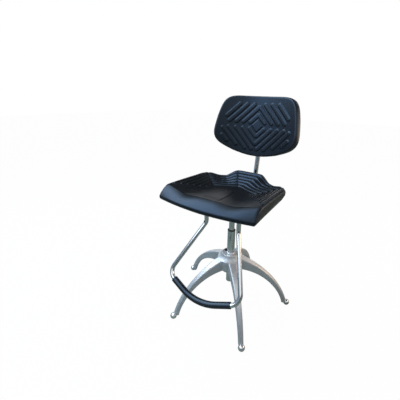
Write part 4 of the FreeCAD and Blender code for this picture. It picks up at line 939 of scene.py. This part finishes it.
def close_seat_side(points, faces, row, last_top, hand):
    """Closes one side of the seat with a wall that bulges a little, between its top and its underside."""
    upper = row[:last_top + 1]
    lower = [row[0]] + list(reversed(row[last_top:]))
    upper_places = [points[index] for index in upper]
    lower_places = [points[index] for index in lower]
    matched = [min(lower_places, key=lambda place: abs(place[1] - y)) for x, y, z in upper_places]
    previous = upper
    for ring in range(1, SIDE_BULGE_RINGS + 1):
        share = ring / (SIDE_BULGE_RINGS + 1)
        out = hand * SIDE_BULGE * math.sin(math.pi * share)
        current = []
        for (x, y, z), below in zip(upper_places, matched):
            points.append((x + out, y, z + (below[2] - z) * share))
            current.append(len(points) - 1)
        for k in range(len(upper) - 1):
            face = (previous[k], previous[k + 1], current[k + 1], current[k])
            faces.append(face if hand < 0 else tuple(reversed(face)))
        previous = current
    cap = previous + list(reversed(lower[1:-1]))
    faces.append(tuple(cap) if hand < 0 else tuple(reversed(cap)))


def build_seat():
    """Side views of the seat from left to right, joined into one closed pad."""
    points = []
    faces = []
    rows = []
    first_top = LIP_STEPS + ROLL_STEPS
    last_top = first_top + TOP_STEPS + CREST_STEPS
    for across, inwards in seat_station_list():
        loop = shrink_view(seat_side_view(min(abs(across), SEAT_HALF_WIDTH)), inwards)
        row = []
        for k, (y, z) in enumerate(loop):
            x = seat_flare(across, y)
            if first_top <= k <= last_top:
                z += rib_height(x, y, seat_runs, SEAT_RIB_WIDTH, SEAT_RIB_HEIGHT, SEAT_RIB_SOFTNESS)
            points.append((x, y, z))
            row.append(len(points) - 1)
        rows.append(row)
    for first, second in zip(rows, rows[1:]):
        for k in range(seat_loop_count):
            after = (k + 1) % seat_loop_count
            faces.append((first[k], first[after], second[after], second[k]))
    close_seat_side(points, faces, rows[0], last_top, -1)
    close_seat_side(points, faces, rows[-1], last_top, 1)
    make_piece("seat_pad", points, faces, foam, "seat_unit", "seat_cushion")


build_seat()

# %% [markdown]
# ## The room
#
# The photograph has a white background and only a faint shadow, but the metal and the foam show
# a darker room around it. So a pale floor keeps the shadow, the world beyond it is white, and
# cloths that only reflections can see stand round the chair. A grey green mat lies under it, and
# grey green curtains stand in front and at the right. All the cloths are flat, and the shade of
# folds is painted on them as dark patches, which show in the tubes. The cloths at the left are
# bluish, like daylight from a window. A nearly black curtain behind the chair and a dark cloth
# over it keep the seat's hollow dark. A warm cloth at the right rear gives the backrest's right
# wall its glint. Two of the three lamps are bluish and stand at the left, and the third is a warm
# one at the right rear. A picture of a real room could do the same, but with cloths and lamps
# each reflection can be moved or dimmed by itself.

# %% The floor
floor_finish = Finish("pale_floor")
floor_speck = floor_finish.noise(scale=3, detail=2, roughness=0.5)
floor_finish.feed(
    Base_Color=floor_finish.blend(floor_speck, colour(0.80, 0.80, 0.80), colour(0.82, 0.82, 0.82)),
    Roughness=0.75 + floor_speck * 0.05,
)
FLOOR_GLOW = 0.975
floor_seen = floor_finish.node("ShaderNodeLightPath", output="Is Camera Ray")
floor_white = floor_finish.node("ShaderNodeEmission", None, {"Color": colour(1, 1, 1), "Strength": 1.0})
floor_mix = floor_finish.node("ShaderNodeMixShader", None, {
    0: floor_seen * FLOOR_GLOW,
    1: Wire(floor_finish, floor_finish.shader.outputs[0]),
    2: floor_white,
})
floor_output = floor_finish.tree.nodes["Material Output"]
floor_finish.tree.links.new(floor_mix.socket, floor_output.inputs["Surface"])

FLOOR_SIDE = 14.0
floor_mesh = bpy.data.meshes.new("floor")
floor_mesh.from_pydata([(-FLOOR_SIDE, -FLOOR_SIDE, 0), (FLOOR_SIDE, -FLOOR_SIDE, 0),
                        (FLOOR_SIDE, FLOOR_SIDE, 0), (-FLOOR_SIDE, FLOOR_SIDE, 0)], [], [(0, 1, 2, 3)])
floor = bpy.data.objects.new("floor", floor_mesh)
floor_mesh.materials.append(floor_finish.material)
scene.collection.objects.link(floor)

# %% The world
WORLD_STRENGTH = 0.55
world = bpy.data.worlds.new("studio")
scene.world = world
world.use_nodes = True
sky = Network(world.node_tree)
sky_light = sky.tree.nodes["Background"]
sky_light.inputs["Color"].default_value = colour(0.93, 0.96, 1.0)
sky_light.inputs["Strength"].default_value = WORLD_STRENGTH
sky_white = sky.node("ShaderNodeBackground", None, {"Color": colour(1, 1, 1)})
seen_by_camera = sky.node("ShaderNodeLightPath", output="Is Camera Ray")
seen_in_gloss = sky.node("ShaderNodeLightPath", output="Is Glossy Ray")
sky_seen = sky.node("ShaderNodeMath", {"operation": "MAXIMUM"}, {0: seen_by_camera, 1: seen_in_gloss})
sky_mix = sky.node("ShaderNodeMixShader", None, {
    0: sky_seen,
    1: Wire(sky, sky_light.outputs[0]),
    2: sky_white,
})
sky.tree.links.new(sky_mix.socket, sky.tree.nodes["World Output"].inputs["Surface"])
print("the world lights the chair with strength", WORLD_STRENGTH)

# %% The lamps
def soft_box(name, place, target, side, power, tint):
    """A square lamp that faces a point."""
    data = bpy.data.lights.new(name, "AREA")
    data.shape = "SQUARE"
    data.size = side
    data.energy = power
    data.color = tint
    lamp = bpy.data.objects.new(name, data)
    lamp.location = place
    lamp.rotation_mode = "QUATERNION"
    lamp.rotation_quaternion = (Vector(target) - Vector(place)).to_track_quat("-Z", "Y")
    scene.collection.objects.link(lamp)
    print(name, "gives", power, "W")


soft_box("key_box", (-1.55, -0.45, 2.95), (0, 0, 0.7), side=2.2, power=64.0, tint=(0.60, 0.80, 1.0))
soft_box("window_box", (-1.2, -2.2, 2.2), (0, 0, 0.95), side=1.2, power=12.0, tint=(0.50, 0.72, 1.0))
soft_box("warm_lamp", (2.0, 1.5, 1.15), (0, 0, 0.8), side=1.2, power=20.0, tint=(1.0, 0.66, 0.42))

# %% Helpers for the curtains
LEVEL_PATCHES = 1.1
CURTAIN_PATCHES = 1.6


def cloth(name, corners, patch_scale, dark, light):
    """A flat cloth between four corners that only reflections show."""
    finish = Finish(name + "_cloth")
    cloudy = finish.noise(scale=patch_scale, detail=4, roughness=0.65)
    # The dark patches are painted shade: they stand for the shaded troughs of folds on a cloth that is
    # really flat.
    fold_shade_mask = finish.ramp(cloudy, zero_at=0.35, one_at=0.65)
    finish.feed(Base_Color=finish.blend(fold_shade_mask, dark, light))
    finish.fixed(Roughness=0.9)
    mesh = bpy.data.meshes.new(name)
    mesh.from_pydata(corners, [], [(0, 1, 2, 3)])
    mesh.materials.append(finish.material)
    screen = bpy.data.objects.new(name, mesh)
    screen.visible_camera = False
    screen.visible_shadow = False
    screen.visible_diffuse = False
    scene.collection.objects.link(screen)
    return screen


def level_cloth(name, dark, light, left, right, front, rear, height):
    """A cloth that lies or hangs level."""
    corners = [(left, front, height), (right, front, height), (right, rear, height), (left, rear, height)]
    cloth(name, corners, LEVEL_PATCHES, dark, light)


def curtain(name, dark, light, around, distance, width, top, hem=0.0):
    """An upright cloth at an angle round the chair, in degrees anticlockwise from its right."""
    half = width / 2
    corners = [(-half, 0, hem), (half, 0, hem), (half, 0, top), (-half, 0, top)]
    screen = cloth(name, corners, CURTAIN_PATCHES, dark, light)
    angle = math.radians(around)
    screen.location = (distance * math.cos(angle), distance * math.sin(angle), 0)
    screen.rotation_euler = (0, 0, angle + math.radians(90))


# %% Hang the curtains
# Each darker colour below is the painted shade of a cloth's folds.
BLACK_FOLD_SHADE = colour(0.006, 0.006, 0.007)
BLACK_CLOTH = colour(0.02, 0.02, 0.022)
TEAL_CLOTH = colour(0.02, 0.035, 0.04)
GREEN_FOLD_SHADE = colour(0.05, 0.07, 0.055)
GREEN_CLOTH = colour(0.17, 0.21, 0.19)
BLUE_FOLD_SHADE = colour(0.20, 0.27, 0.34)
BLUE_CLOTH = colour(0.34, 0.44, 0.56)
WARM_FOLD_SHADE = colour(0.25, 0.20, 0.15)
WARM_CLOTH = colour(0.85, 0.74, 0.58)
MAT_FOLD_SHADE = colour(0.11, 0.145, 0.12)
MAT_CLOTH = colour(0.24, 0.29, 0.245)

level_cloth("ground_mat", MAT_FOLD_SHADE, MAT_CLOTH, left=-2.6, right=2.6, front=-2.6, rear=2.6, height=0.001)
level_cloth("ceiling_cloth", BLACK_FOLD_SHADE, TEAL_CLOTH, left=-0.5, right=3.0, front=-0.6, rear=3.0, height=3.0)
curtain("rear_curtain", BLACK_FOLD_SHADE, BLACK_CLOTH, around=126, distance=2.6, width=4.4, top=3.4, hem=1.05)
curtain("left_curtain", BLUE_FOLD_SHADE, BLUE_CLOTH, around=190, distance=3.0, width=3.2, top=1.9)
curtain("front_left_curtain", GREEN_FOLD_SHADE, BLUE_CLOTH, around=242, distance=3.1, width=3.0, top=1.7)
curtain("front_curtain", GREEN_FOLD_SHADE, GREEN_CLOTH, around=296, distance=3.1, width=3.0, top=1.7)
curtain("right_curtain", GREEN_FOLD_SHADE, GREEN_CLOTH, around=350, distance=3.1, width=3.0, top=1.9)
curtain("rear_right_curtain", WARM_FOLD_SHADE, WARM_CLOTH, around=52, distance=3.0, width=3.4, top=2.2)

scene.view_settings.view_transform = "Standard"
